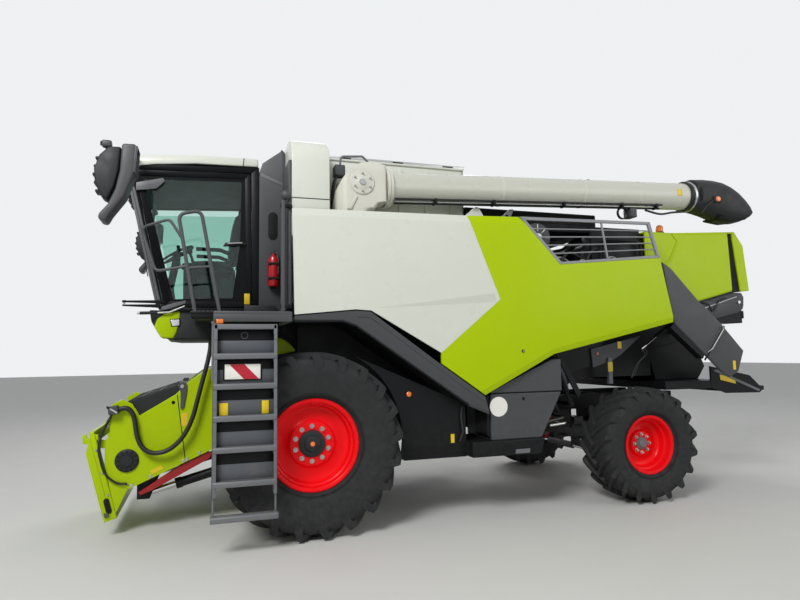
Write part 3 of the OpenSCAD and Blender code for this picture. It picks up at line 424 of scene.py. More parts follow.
def metal(name, colour, low, high, size_mm=40, scratch=0.1):
    """Plated or machined steel: metallic, with fine wandering scratches."""
    stuff, tree, shader, where = new_material(name, {"Metallic": 1.0})
    shade(tree, shader, where, colour, 120, 0.1)
    uneven(tree, shader, where, low, high, size_mm)
    long = add(tree, "ShaderNodeMapping", {"Vector": where, "Scale": (30, 600, 600)})
    lines = add(tree, "ShaderNodeTexNoise", {"Vector": long.outputs[0], "Scale": 4.0, "Detail": 3.0})
    bump(tree, shader, lines.outputs["Fac"], scratch, 0.1)
    return stuff


def tyre_rubber(name, colour):
    """Moulded and vulcanised rubber: matt, with mould bloom and fine pits, dusty towards the tread."""
    stuff, tree, shader, where = new_material(name, {"Specular IOR Level": 0.2})
    shade(tree, shader, where, colour, 260, 0.18, dust="#6a655c", dust_amount=0.1, dust_top=2.2)
    uneven(tree, shader, where, 0.62, 0.85, 90)
    bump(tree, shader, grain(tree, where, 7, 5.0, 0.7), 0.3, 0.8)
    return stuff


def hose_rubber(name, colour):
    """Extruded rubber hose with the print of its cloth wrap, drawn at 6 mm."""
    stuff, tree, shader, where = new_material(name)
    shade(tree, shader, where, colour, 80, 0.2)
    uneven(tree, shader, where, 0.45, 0.6, 60)
    print_of_cloth = {"Vector": where, "Scale": 26.0, "Distortion": 2.0, "Detail": 2.0}
    wave = add(tree, "ShaderNodeTexWave", print_of_cloth, bands_direction="DIAGONAL")
    bump(tree, shader, wave.outputs["Fac"], 0.2, 0.5)
    return stuff


def safety_glass(name, colour, rough=0.02):
    """Float glass, toughened and tinted green in the melt: clear, with the faintest roller wave."""
    values = {"Roughness": rough, "IOR": 1.45, "Specular IOR Level": 0.2, "Transmission Weight": 1.0}
    stuff, tree, shader, where = new_material(name, values)
    base = linear(colour)
    tint = mix(tree, grain(tree, where, 500, 2.0), base, tuple(c * 0.9 for c in base[:3]) + (1.0,))
    tree.links.new(tint, shader.inputs["Base Color"])
    bump(tree, shader, grain(tree, where, 220, 1.0), 0.02, 0.5)
    return stuff


def lens(name, colour, glow=0.0):
    """Moulded acrylic lens with prism ribs of 6 mm."""
    values = {"Roughness": 0.12, "Coat Weight": 0.6}
    stuff, tree, shader, where = new_material(name, values)
    shade(tree, shader, where, colour, 60, 0.2)
    ribs = add(tree, "ShaderNodeTexWave", {"Vector": where, "Scale": 50.0}, bands_direction="Z")
    bump(tree, shader, ribs.outputs["Fac"], 0.35, 1.0)
    if glow:
        shader.inputs["Emission Color"].default_value = linear(colour)
        shader.inputs["Emission Strength"].default_value = glow
    return stuff


def film(name, colour, second=None, stripe_mm=120):
    """Printed vinyl film: a smooth satin, plain or with slanting stripes of a warning plate."""
    stuff, tree, shader, where = new_material(name)
    if second:
        slant = add(tree, "ShaderNodeMapping", {"Vector": where, "Rotation": (0, math.radians(55), 0)})
        along = add(tree, "ShaderNodeSeparateXYZ", {0: slant.outputs[0]}).outputs["X"]
        step = add(tree, "ShaderNodeMath", {0: along, 1: 1000 / stripe_mm}, operation="MULTIPLY").outputs[0]
        part = add(tree, "ShaderNodeMath", {0: step}, operation="FRACT").outputs[0]
        half = add(tree, "ShaderNodeMath", {0: part, 1: 0.5}, operation="GREATER_THAN").outputs[0]
        tree.links.new(mix(tree, half, linear(colour), linear(second)), shader.inputs["Base Color"])
    else:
        shade(tree, shader, where, colour, 90, 0.06)
    uneven(tree, shader, where, 0.3, 0.42, 50)
    bump(tree, shader, grain(tree, where, 12, 1.0), 0.05, 0.2)
    return stuff


def woven_cloth(name, colour, thread_mm=2.4):
    """Woven polyester upholstery: crossing threads, drawn at 2.4 mm so that they show, and a soft sheen."""
    values = {"Roughness": 0.85, "Sheen Weight": 0.4}
    stuff, tree, shader, where = new_material(name, values)
    shade(tree, shader, where, colour, 40, 0.3)
    threads = {"Vector": where, "Scale": 314 / thread_mm}
    warp, weft = (add(tree, "ShaderNodeTexWave", threads, bands_direction=way).outputs["Fac"] for way in "XY")
    crossing = add(tree, "ShaderNodeMath", {0: warp, 1: weft}, operation="MAXIMUM")
    bump(tree, shader, crossing.outputs[0], 0.35, 0.6)
    return stuff


def finishes(colours):
    """All the finishes of the machine by their plain names."""
    return {
        "lime": enamel("lime_enamel_sprayed", colours.lime, coat=0.04, dust=0.03, gloss=0.14),
        "white": enamel("off_white_enamel_sprayed", colours.off_white, dust=0.05),
        "ivory": enamel("ivory_enamel_sprayed", colours.ivory),
        "red": enamel("rim_red_enamel_sprayed", colours.rim_red, 0.25, 0.4, 0.04, dust=0.02, dust_top=1.4,
            gloss=0.14),
        "lock_red": enamel("lock_bar_red_enamel_sprayed", colours.lock_red, 0.35, 0.5, 0.2),
        "grey": powder_coat("grey_powder_coat", colours.grey),
        "graphite": powder_coat("graphite_powder_coat", colours.graphite),
        "rail": powder_coat("hand_rail_powder_coat", "#4b4d4f"),
        "riser": powder_coat("riser_sheet_powder_coat", "#54575c"),
        "black": powder_coat("black_powder_coat", colours.black, 0.35, 0.5, 0.05, gloss=0.16),
        "frame": powder_coat("bright_grey_powder_coat", "#8c8f92", 0.3, 0.42, 0.1),
        "plastic": moulded_plastic("black_moulded_polypropylene", colours.black_plastic),
        "shell": moulded_plastic("grey_moulded_polypropylene", colours.grey_plastic, 0.35, 0.5),
        "trim": moulded_plastic("cab_trim_moulded_plastic", "#2b2c2e", 0.5, 0.65),
        "tyre": tyre_rubber("tyre_rubber_moulded", colours.rubber),
        "hose": hose_rubber("hose_rubber_wrapped", "#151516"),
        "chrome": metal("hard_chromed_steel_rod", "#d8d8d6", 0.08, 0.16),
        "zinc": metal("zinc_plated_steel", "#b9bbb8", 0.28, 0.42),
        "cast": metal("machined_cast_iron", "#55534f", 0.45, 0.6, 30, 0.2),
        "glass": safety_glass("green_toughened_glass", colours.glass),
        "mirror": metal("silvered_mirror_glass", "#e8ecec", 0.02, 0.05, 200, 0.0),
        # The faint glow is painted light, on the lamps' lenses and also on the orange dots of the front hub
        # caps, which are no lamps
        "orange": lens("orange_acrylic_lens", "#e8741a", 0.15),
        "red_lens": lens("red_acrylic_lens", "#b3121a"),
        "clear_lens": lens("clear_polycarbonate_lens", "#dfe3e6"),
        "yellow": film("yellow_vinyl_film", "#e2c21a"),
        "blank": film("white_vinyl_film", "#eceae2"),
        "striped": film("red_and_white_reflective_film", "#e6e3de", "#b81c2c"),
        "cloth": woven_cloth("black_woven_upholstery", "#26272a"),
        "extinguisher": enamel("extinguisher_red_enamel", "#a3141c", 0.2, 0.3),
        "ceramic": enamel("black_ceramic_print_on_glass", "#07090c", 0.3, 0.4, 0.0, gloss=0.14),
        "red_film": film("red_reflective_film", "#b5182c"),
        # Near-black of the real rubber seals, straps and mats, and also painted shade: black plates drawn in
        # holes, slots, gaps and openings
        "void": moulded_plastic("black_rubber_and_painted_shade_in_holes", "#0a0a0b", 0.7, 0.85),
    }


FINISH = {}


def repeat(bm, stuff, copies, step=(0, 0, 0), turn=(0, 0, 0)):
    """Copies of a mesh, each moved and turned on from the one before it, made by Geometry Nodes."""
    mesh = bpy.data.meshes.new("one")
    bm.to_mesh(mesh)
    bm.free()
    obj = bpy.data.objects.new("copies", mesh)
    bpy.context.scene.collection.objects.link(obj)
    tree = bpy.data.node_groups.get("copies_along_a_step") or copies_tree()
    modifier = obj.modifiers.new("copies", "NODES")
    modifier.node_group = tree
    names = {item.name: item.identifier for item in tree.interface.items_tree if item.in_out == "INPUT"}
    for name, value in (("Copies", copies), ("Step", step), ("Turn", turn), ("Finish", FINISH[stuff])):
        modifier[names[name]] = value
    bpy.context.view_layer.update()
    made = bpy.data.meshes.new_from_object(obj.evaluated_get(bpy.context.evaluated_depsgraph_get()))
    result = bmesh.new()
    result.from_mesh(made)
    bpy.data.objects.remove(obj)
    bpy.data.meshes.remove(made)
    return result, stuff


def copies_tree():
    """Geometry Nodes tree: instances on points that follow a step and a turn."""
    tree = bpy.data.node_groups.new("copies_along_a_step", "GeometryNodeTree")
    for name, kind in (
        ("Geometry", "Geometry"), ("Copies", "Int"), ("Step", "Vector"), ("Turn", "Vector"),
            ("Finish", "Material"),
    ):
        tree.interface.new_socket(name, in_out="INPUT", socket_type="NodeSocket" + kind)
    tree.interface.new_socket("Geometry", in_out="OUTPUT", socket_type="NodeSocketGeometry")
    given = add(tree, "NodeGroupInput")
    index = add(tree, "GeometryNodeInputIndex").outputs[0]
    where = add(tree, "ShaderNodeVectorMath", {0: given.outputs["Step"], "Scale": index}, operation="SCALE")
    turned = add(tree, "ShaderNodeVectorMath", {0: given.outputs["Turn"], "Scale": index}, operation="SCALE")
    points = add(tree, "GeometryNodePoints", {"Count": given.outputs["Copies"],
        "Position": where.outputs["Vector"]})
    turns = add(tree, "FunctionNodeEulerToRotation", {0: turned.outputs["Vector"]})
    copies = add(tree, "GeometryNodeInstanceOnPoints", {
        "Points": points.outputs[0], "Instance": given.outputs["Geometry"], "Rotation": turns.outputs[0],
    })
    real = add(tree, "GeometryNodeRealizeInstances", {0: copies.outputs[0]})
    finish = add(tree, "GeometryNodeSetMaterial", {"Geometry": real.outputs[0],
        "Material": given.outputs["Finish"]})
    add(tree, "NodeGroupOutput", {"Geometry": finish.outputs[0]})
    return tree


def ring(bm, stuff, copies):
    """Copies around the wheel's own axis."""
    return repeat(bm, stuff, copies, turn=(0, 2 * math.pi / copies, 0))


def on_side(parts, side):
    """Parts of the left side, or their copies when side is 1, the right one."""
    return parts if side < 0 else [(mirrored(bm), stuff) for bm, stuff in parts]


def wheel_place(parts, at, side):
    """Puts parts made around the origin, outer side at -Y, on a wheel of the left (-1) or right (1) side."""
    x, y, z = at
    return [set_at(part, x, side * y, z) for part in on_side(parts, side)]


# Sizes and colours


def colour(name, description, default):
    return bpy.props.StringProperty(name=name, description=description + ", sRGB hex", default=default)


def length(name, description, default):
    return bpy.props.FloatProperty(name=name, description=description, default=default, unit="LENGTH")


class HarvesterColours(bpy.types.PropertyGroup):
    lime: colour("Lime", "Lime enamel of the panels", "#acc600")
    off_white: colour("Off-white", "Enamel of the tank and the front panels", "#d3d5ca")
    ivory: colour("Ivory", "Enamel of the unloading tube", "#cdcdc0")
    grey: colour("Light grey", "Powder coat of the ladder and the rails", "#6c6e71")
    graphite: colour("Graphite", "Powder coat of the skirts and the frame", "#45474a")
    black: colour("Black", "Powder coat of the cab's frame and the threshing body", "#151618")
    black_plastic: colour("Black plastic", "Moulded spout and covers", "#222324")
    grey_plastic: colour("Grey plastic", "Moulded mirror shells", "#4d4e50")
    rim_red: colour("Rim red", "Enamel of the rims", "#ee0c15")
    lock_red: colour("Lock red", "Enamel of the lift lock", "#9b1a1e")
    rubber: colour("Tyre rubber", "Rubber of the tyres", "#2c2d2e")
    glass: colour("Glass", "Tint of the cab's panes", "#c2e6db")


class HarvesterSizes(bpy.types.PropertyGroup):
    front_lug: length("Front lugs", "Height of the front tyres' lugs", 0.052)
    rear_lug: length("Rear lugs", "Height of the rear tyres' lugs", 0.042)
    front_lugs: bpy.props.IntProperty(name="Front lug count", description="Lugs on each side of a front tyre",
        default=21)
    rear_lugs: bpy.props.IntProperty(name="Rear lug count", description="Lugs on each side of a rear tyre",
        default=18)
    lens: bpy.props.FloatProperty(name="Lens", description="Focal length of the camera in millimetres",
        default=27.27)


# Camera, lights and floor


# Where the camera solved from the photograph stands, in metres, and its yaw, pitch and roll in degrees
CAMERA_AT = (-2.958, -7.312, 1.729)
CAMERA_TURN = (17.864, 5.048, -0.866)
SENSOR_MM = 36
FLOOR_HALF = 60


def make_stage(sizes):
    scene = bpy.context.scene
    camera = bpy.data.cameras.new("camera")
    camera.lens = sizes.lens
    camera.sensor_width = SENSOR_MM
    eye = bpy.data.objects.new("camera", camera)
    yaw, pitch, roll = (math.radians(angle) for angle in CAMERA_TURN)
    ahead = Vector((math.sin(yaw) * math.cos(pitch), math.cos(yaw) * math.cos(pitch), math.sin(pitch)))
    right = Vector((math.cos(yaw), -math.sin(yaw), 0))
    up = right.cross(ahead)
    right, up = right * math.cos(roll) + up * math.sin(roll), up * math.cos(roll) - right * math.sin(roll)
    turn = Matrix((right, up, -ahead)).transposed()
    eye.matrix_world = Matrix.Translation(CAMERA_AT) @ turn.to_4x4()
    camera.clip_end = 200
    scene.collection.objects.link(eye)
    scene.camera = eye
    scene.view_settings.view_transform = "Standard"

    # Poured and trowelled screed: pale, matt, with soft clouds, and white where the camera sees its far end
    floor_stuff, tree, shader, where = new_material("pale_screed_floor")
    shade(tree, shader, where, "#d9d8d4", 1500, 0.04)
    uneven(tree, shader, where, 0.6, 0.75, 400)
    bump(tree, shader, grain(tree, where, 30, 4.0), 0.08, 0.5)
    mesh = bpy.data.meshes.new("floor")
    corners = [(x * FLOOR_HALF, y * FLOOR_HALF, 0) for x, y in ((-1, -1), (1, -1), (1, 1), (-1, 1))]
    mesh.from_pydata(corners, [], [(0, 1, 2, 3)])
    mesh.materials.append(floor_stuff)
    floor = bpy.data.objects.new("floor", mesh)
    scene.collection.objects.link(floor)

    world = bpy.data.worlds.new("studio")
    world.use_nodes = True
    tree = world.node_tree
    tree.nodes.clear()
    path = add(tree, "ShaderNodeLightPath")
    seen = path.outputs["Is Camera Ray"]
    for ray in ("Is Glossy Ray", "Is Transmission Ray"):
        seen = add(tree, "ShaderNodeMath", {0: seen, 1: path.outputs[ray]}, operation="MAXIMUM").outputs[0]
    lit = add(tree, "ShaderNodeBackground", {"Color": linear("#eef2f6"), "Strength": 0.36})
    shown = add(tree, "ShaderNodeBackground", {"Color": linear("#f4f6f8"), "Strength": 0.95})
    mixed = add(tree, "ShaderNodeMixShader", {0: seen, 1: lit.outputs[0], 2: shown.outputs[0]})
    add(tree, "ShaderNodeOutputWorld", {"Surface": mixed.outputs[0]})
    scene.world = world

    # The sun of the photograph stands behind the camera to the left and high; a wide softbox takes its place
    for name, kind, place_at, aim, power, size in (
        ("key", "AREA", (-7.5, -9.0, 9.5), (0, 0, 1.5), 1180, 4.0),
        ("fill", "AREA", (8.5, -9.0, 5.0), (1.5, 0, 1.5), 230, 6.0),
        ("back", "AREA", (2.0, 9.0, 8.0), (0, 0, 2.0), 330, 6.0),
    ):
        lamp = bpy.data.lights.new(name, kind)
        lamp.energy = power
        lamp.size = size
        obj = bpy.data.objects.new(name, lamp)
        obj.location = place_at
        obj.rotation_euler = (Vector(aim) - Vector(place_at)).to_track_quat("-Z", "Y").to_euler()
        scene.collection.objects.link(obj)


# The feeder house's hose: its route is the source's route

HOSE = [
    (-940, -790, 1900), (-940, -790, 1810), (-970, -800, 1650), (-1020, -800, 1450), (-1060, -800, 1280),
    (-1105, -800, 1110), (-1175, -800, 960), (-1265, -795, 855), (-1365, -790, 798), (-1470, -780, 792),
    (-1555, -770, 838), (-1605, -763, 925), (-1628, -757, 1020), (-1640, -753, 1100), (-1657, -751, 1165),
    (-1685, -750, 1212), (-1725.3, -750, 1235.7), (-1789.7, -750, 1227.04),
]
HOSE_D = 46


def make_hose():
    route = smooth_route(HOSE, 4)
    parts = [(sweep(route, circle(HOSE_D, 16)), "hose")]
    obj = piece("hydraulic_hose", parts, "machine", ["feeder_hose"], 60)


# Wheels


def spline_profile(points, steps=3):
    return [(p.x, p.y) for p in smooth_route([(a, b, 0) for a, b in points], steps)]


def tyre_parts(d, w, seat_d, seat_w, lugs, lug_h):
    """Carcass with curved sidewalls and two rows of slanting lugs that run down the shoulders."""
    r, s, h = d / 2, seat_d / 2, w / 2
    base = r - lug_h
    side = [
        (s, seat_w / 2), (s + 14, seat_w / 2 + 12), (s + 40, seat_w / 2 + 14), (s + 75, h - 26),
        ((r + s) / 2 - 30, h - 8), ((r + s) / 2 + 40, h - 3), (base - 70, h - 12), (base - 30, h - 30),
        (base - 9, h - 62), (base, h * 0.5), (base + 4, 0),
    ]
    half = spline_profile(side, 4)
    profile = [(a, -b) for a, b in half] + [(a, b) for a, b in reversed(half[:-1])]
    parts = [(lathe(profile, 112, closed=True), "tyre")]
    # Centring ribs beside the rim
    for radius, y in ((s + 52, h - 33), (s + 64, h - 27)):
        for way in (-1, 1):
            rib = [
                (radius, way * (y - 6)), (radius + 2, way * (y + 5)), (radius + 6, way * (y + 6)),
                (radius + 9, way * (y - 4)),
            ]
            parts.append((lathe(rib, 96, closed=True), "tyre"))
    pitch = 2 * math.pi / lugs
    span = pitch * 1.12
    stations = []
    for t in range(11):
        f = t / 10
        if f < 0.8:
            y = -0.03 * w + (h - 12 + 0.03 * w) * f / 0.8
            top = r - 10 * (y / h) ** 2 * 1.2
            low = base - 14 - 40 * max(0, y / h - 0.75) / 0.25
        else:
            g = (f - 0.8) / 0.2
            y = h - 12 + 9 * math.sin(g * math.pi / 2)
            top = r - 12 - g * (lug_h + 62)
            low = top - 30
        wide = (0.30 + 0.10 * f) * pitch * r * 0.62
        stations.append((y, top, low, span * min(f / 0.85, 1.05), wide))
    for way in (-1, 1):
        rings = []
        for y, top, low, angle, wide in stations:
            flank, crown = wide * 0.72, wide * 0.5
            half = [(-flank, low), (-crown, top - 5), (-crown + 6, top)]
            section = half + [(-across, radius) for across, radius in reversed(half)]
            start = angle + (pitch / 2 if way > 0 else 0)
            turned = [(start + across / r, radius) for across, radius in section]
            rings.append([(radius * math.sin(a), way * y, radius * math.cos(a)) for a, radius in turned])
        parts.append(ring(skin(rings), "tyre", lugs))
    return parts


def hexagon(across_flats, height, y):
    """Nut whose outer face lies at y - height."""
    r = across_flats / 2 / math.cos(math.pi / 6)
    return lathe([(0, y - height), (r * 0.86, y - height), (r, y - height + 3), (r, y), (0, y)], 6)


def bolt(r, y, flats=30, stud=10):
    under, end = y - 20, y - 22 - stud
    parts = [
        lathe([(0, y - 3), (flats * 0.72, y - 3), (flats * 0.72, y), (0, y)], 20),
        hexagon(flats, 20, y - 2),
        lathe([(0, end), (7, end), (9, end + 2), (9, under), (0, under)], 12),
    ]
    whole = bmesh.new()
    mesh = bpy.data.meshes.new("bolt")
    for bm in parts:
        bm.to_mesh(mesh)
        whole.from_mesh(mesh)
        bm.free()
    bpy.data.meshes.remove(mesh)
    return moved(whole, z=r)


def front_rim_parts():
    profile = [
        (0, -150), (200, -150), (212, -147), (226, -134), (242, -126), (300, -114), (338, -116), (356, -124),
        (365, -138), (367, -158), (367, -186), (372, -198), (386, -206), (392, -216), (393, -246), (398, -259),
        (412, -268), (428, -270), (437, -265), (437, -255), (428, -251), (409, -247), (409, 247), (428, 251),
        (437, 255), (437, 265), (428, 270), (412, 268), (398, 259), (395, 240), (395, -60), (385, -80),
        (340, -94), (0, -94),
    ]
    parts = [
        (lathe(profile, 96), "red"),
        (lathe([(80.3, -100), (135, -100), (135, 200), (128, 208), (80.3, 208)], 48, closed=True), "graphite"),
        (lathe([(0, -188), (66, -188), (74, -184), (78, -174), (112, -172), (126, -166), (130, -150)], 44),
            "plastic"),
        (lathe([(0, -191), (20, -191), (23, -188)], 24), "orange"),
        ring(bolt(166, -150, 32, 12), "zinc", 10),
        (moved(rod((0, -170, 0), (0, -222, 14), 16, 12, 10), 0, 0, 376), "zinc"),
    ]
    return parts


def rear_rim_parts():
    profile = [
        (0, -52), (122, -52), (134, -49), (142, -40), (156, -24), (200, -10), (232, -12), (252, -22),
        (262, -36), (265, -60), (265, -96), (270, -108), (284, -116), (289, -126), (290, -178), (295, -192),
        (307, -201), (324, -203), (332, -198), (332, -189), (324, -186), (304, -182), (304, 182), (324, 186),
        (332, 189), (332, 198), (324, 203), (307, 201), (295, 192), (290, 180), (290, 10), (240, 14), (0, 14),
    ]
    parts = [
        (lathe(profile, 96), "red"),
        (lathe([(50.3, 10), (98, 10), (98, 128), (92, 136), (50.3, 136)], 40, closed=True), "graphite"),
        (lathe([(0, -92), (40, -92), (48, -86), (52, -70), (66, -68), (72, -60), (74, -52)], 36), "grey"),
        ring(bolt(102, -52, 27, 10), "zinc", 8),
        (moved(rod((0, -70, 0), (0, -118, 12), 14, 12, 9), 0, 0, 274), "zinc"),
    ]
    return parts


SIDES = ((-1, "left"), (1, "right"))
# Axle, half track and axle height of the wheels, then diameter and width of each tyre and of its seat
WHEELS = {"front": (0, 1260, 880), "rear": (3850, 1295, 650)}
TYRES = {"front": (1760, 650, 818, 496), "rear": (1300, 500, 608, 362)}


def make_wheel(kind, form, end, side, name, parts, smooth):
    names = "%s_%s_%s_%s" % (end, kind, form, name), "%s_wheel_%s" % (end, name), "%s_%s_%s" % (end, kind, name)
    piece(names[0], wheel_place(parts, WHEELS[end], side), names[1], [names[2]], smooth)


def make_tyres(sizes):
    for side, name in SIDES:
        parts = tyre_parts(*TYRES["front"], sizes.front_lugs, sizes.front_lug * 1000)
        make_wheel("tyre", "lugged", "front", side, name, parts, 40)
        parts = tyre_parts(*TYRES["rear"], sizes.rear_lugs, sizes.rear_lug * 1000)
        make_wheel("tyre", "lugged", "rear", side, name, parts, 40)


def make_rims():
    for side, name in SIDES:
        for end, parts in (("front", front_rim_parts()), ("rear", rear_rim_parts())):
            make_wheel("rim", "stepped", end, side, name, parts, 28)


def coat(node, stuff):
    """Gives a CAD node that stays in view its finish."""
    slots = frame["nodes"][node].data.materials
    slots.clear()
    slots.append(FINISH[stuff])


def make_running_gear():
    for node in ("front_axle", "rear_axle", "knuckle_left", "knuckle_right"):
        coat(node, "graphite")
    coat("steering_rod", "chrome")
    coat("chassis", "black")
    coat("threshing_body", "black")


# Grain tank and side panels

# Half widths over the panels, the tank's shoulders and its open top; the tank's lengths and heights
PANEL_Y = 1500
TANK_X = (-200, 1830)
OPEN_X = 180
SHOULDER_Y = 1440
SHOULDER_Z = 3120
TANK_TOP = 3850
TANK_Y = 1000


def arc(cx, cz, r, start, end, steps=8):
    """Points of an arc in two coordinates, angles in degrees from the first axis."""
    angles = [math.radians(start + (end - start) * i / steps) for i in range(steps + 1)]
    return [(cx + r * math.cos(a), cz + r * math.sin(a)) for a in angles]


def make_tank():
    top = TANK_TOP + 70
    shoulder = arc(SHOULDER_Y - 260, top - 260, 260, 0, 90, 10)
    foot = [(SHOULDER_Y, SHOULDER_Z)], [(-SHOULDER_Y, SHOULDER_Z)]
    outline = foot[0] + shoulder + [(-y, z) for y, z in reversed(shoulder)] + foot[1]
    parts = [(cross(outline, (TANK_X[0], OPEN_X), 10, 3), "white")]
    # Seam of the shoulder's front sheet, then the hopper under it
    parts += both([(block((TANK_X[0] + 4, OPEN_X - 4), (-SHOULDER_Y - 3, -SHOULDER_Y + 6), (3268, 3276)),
        "void")])
    parts.append((cross([(SHOULDER_Y, SHOULDER_Z), (SHOULDER_Y, 2900), (790, 2300), (-790, 2300),
        (-SHOULDER_Y, 2900), (-SHOULDER_Y, SHOULDER_Z)], TANK_X, 8), "white"))
    t = 20
    for y in (-TANK_Y, TANK_Y - t):
        parts.append((block((OPEN_X - 5, TANK_X[1]), (y, y + t), (SHOULDER_Z - 5, TANK_TOP), 5), "white"))
    for x in (OPEN_X, TANK_X[1] - t):
        parts.append((block((x, x + t), (-TANK_Y, TANK_Y), (SHOULDER_Z - 5, TANK_TOP), 5), "white"))
    # Stiffening ribs of the walls, and the rolled rim
    for i in range(4):
        x = 730 + i * 310
        parts += both([(block((x, x + 46), (-TANK_Y - 14, -TANK_Y + 2), (SHOULDER_Z, TANK_TOP - 70), 5),
            "white")])
    parts += both([(tube([(OPEN_X, -TANK_Y - 4, TANK_TOP - 16), (TANK_X[1], -TANK_Y - 4, TANK_TOP - 16)],
        30, 0), "white")])
    # Front cradle under the unloading tube, and the filling auger's top inside the tank
    cradle = [(1640, 3110), (1740, 3245), (1860, 3345), (1900, 3345), (1960, 3245), (1825, 3110)]
    parts += [
        (plate(cradle, (-1250, -1220), 3), "white"),
        (rod((1150, 0, 2420), (1000, 0, 3700), 190, 28), "zinc"),
    ]
    piece("grain_tank_sheets", parts, "machine", ["grain_tank"])

    for side, name in SIDES:
        lid = []
        z = TANK_TOP + 0.3
        lid.append((block((OPEN_X + 5, TANK_X[1] + 20), (-TANK_Y, -3), (z, z + 24), 6), "white"))
        for i in range(3):
            y = -TANK_Y + 150 + i * 300
            lid.append((block((OPEN_X + 60, TANK_X[1] - 40), (y, y + 60), (z + 20, z + 30), 5), "white"))
        lid.append((block((OPEN_X + 5, TANK_X[1] + 20), (-TANK_Y - 4, -TANK_Y + 6), (z - 2, z + 26), 3),
            "zinc"))
        for i in range(3):
            x = OPEN_X + 200 + i * 600
            lid.append((rod((x, -TANK_Y - 2, z + 4), (x + 120, -TANK_Y - 2, z + 4), 22, 14), "black"))
        piece("tank_lid_sheet_" + name, on_side(lid, side), "lid_" + name, ["tank_lid_" + name])

    # Grey wall between the cab and the tank, with its hole, the rail tube and the extinguisher
    side_outline = [(-470, 2180), (-470, 3650), (-440, 3745), (-250, 3890)]
    side_outline += arc(-262, 3850, 62, 75, 0, 5) + [(-200.3, 2180)]
    wall = both([(plate(side_outline, (-950, -910), 6), "graphite")])
    wall.append((block((-350, -200.3), (-930, 930), (2320, TANK_TOP - 50), 6), "graphite"))
    wall += both([
        (block((-230, -200.3), (-SHOULDER_Y, -930), (2180, TANK_TOP - 200), 5), "graphite"),
        # Light grey diagonal strip: a painted highlight along the wall's crease
        (plate([(-455, 3600), (-452, 3640), (-215, 3540), (-215, 3510)], (-955, -948), 2), "grey"),
    ])
    hole = arc(-330, 3180, 48, 0, 180, 10) + arc(-330, 2980, 48, 180, 360, 10)
    wall += both([
        (plate(hole, (-956, -946), 3), "void"),
        (plate(arc(-345, 2590, 20, 0, 360, 14)[:-1], (-957, -947), 2), "void"),
    ])
    post = [(-285, -1455, 2080), (-285, -1455, 3230)]
    wall += both([(tube(post, 46, 0, 20), "shell")])
    for y in (-1455, 1455):
        knob = bmesh.new()
        bmesh.ops.create_uvsphere(knob, u_segments=24, v_segments=14, radius=44)
        wall += [
            (moved(knob, -262, y, 3285), "shell"),
            (rod((-285, y, 3210), (-262, y, 3270), 30, 14), "black"),
        ]
        for z in (2180, 3160):
            wall.append((block((-310, -200), (y - 20 if y > 0 else y - 14, y + 14 if y > 0 else y + 20),
                (z, z + 36), 4), "black"))
    bottle = lathe([(0, 0), (50, 4), (58, 20), (58, 270), (48, 305), (22, 322), (22, 345), (0, 345)], 28)
    wall += [
        (moved(bottle, -330, -1022, 2430, spin("X", 90)), "extinguisher"),
        (block((-385, -275), (-1084, -960), (2500, 2528), 6), "void"),
        (block((-385, -275), (-1084, -960), (2650, 2678), 6), "void"),
        (block((-365, -295), (-980, -948), (2420, 2760), 4), "plastic"),
        (tube([(-330, -1022, 2770), (-300, -1040, 2790), (-282, -1060, 2700), (-285, -1065, 2560)], 18, 30, 10),
            "hose"),
        (block((-352, -300), (-1040, -1000), (2765, 2800), 6), "plastic"),
    ]
    piece("tank_front_wall", wall, "machine", ["tank_front"])


def folded_sheet(outline, widths, y_face, depth, thick):
    """Sheet in X and Z whose edge strips, widths in mm along each side, are bent back by depth."""
    n = len(outline)
    area = sum(a[0] * b[1] - b[0] * a[1] for a, b in zip(outline, outline[1:] + outline[:1]))
    way = 1 if area > 0 else -1
    lines = []
    for i in range(n):
        a, b = Vector(outline[i]), Vector(outline[(i + 1) % n])
        d = (b - a).normalized()
        inward = Vector((-d.y, d.x)) * way
        lines.append((a + inward * widths[i], d))
    inner = []
    for i in range(n):
        (p, d), (q, e) = lines[i - 1], lines[i]
        s = d.x * e.y - d.y * e.x
        t = ((q.x - p.x) * e.y - (q.y - p.y) * e.x) / s if abs(s) > 1e-4 else (q - p).dot(d)
        inner.append(p + d * t)
    bm = bmesh.new()
    face = [bm.verts.new((p.x, y_face, p.y)) for p in inner]
    rim = []
    for i in range(n):
        bent = widths[i] > 0 or widths[i - 1] > 0
        apart = (Vector(outline[i]) - inner[i]).length > 0.5
        edge_at = (outline[i][0], y_face + (depth if bent else 0), outline[i][1])
        rim.append(bm.verts.new(edge_at) if apart else face[i])
    back = [bm.verts.new((outline[i][0], y_face + thick, outline[i][1])) for i in range(n)]
    bm.faces.new(face)
    bm.faces.new(back[::-1])
    for i in range(n):
        j = (i + 1) % n
        loop = list(dict.fromkeys((face[i], face[j], rim[j], rim[i])))
        if len(loop) > 2 and widths[i] > 0:
            bm.faces.new(loop)
        bent_wall = [rim[i], rim[j], back[j], back[i]]
        straight_wall = [face[i], face[j], rim[j], back[j], back[i], rim[i]]
        bm.faces.new(list(dict.fromkeys(bent_wall if widths[i] > 0 else straight_wall)))
    bmesh.ops.recalc_face_normals(bm, faces=bm.faces)
    round_edges(bm, 3, 2, 12)
    return bm


WHITE = [(-180, 2115), (-200, 3160), (1650, 3186), (2010, 2290), (1320, 1730), (580, 2160), (420, 2170)]
GREEN = [
    (1650, 3186), (2270, 3205), (2760, 2690), (4120, 2810), (4280, 2050), (2660, 1700), (1810, 1280),
    (1320, 1620), (1320, 1730), (2010, 2290),
]
LOUVRE = [(2270, 3205), (2760, 2690), (4120, 2810), (4000, 3235)]
LOUVRE_FIELDS = 5
LOUVRE_IN = [(2345, 3170), (2780, 2720), (4075, 2840), (3965, 3200)]


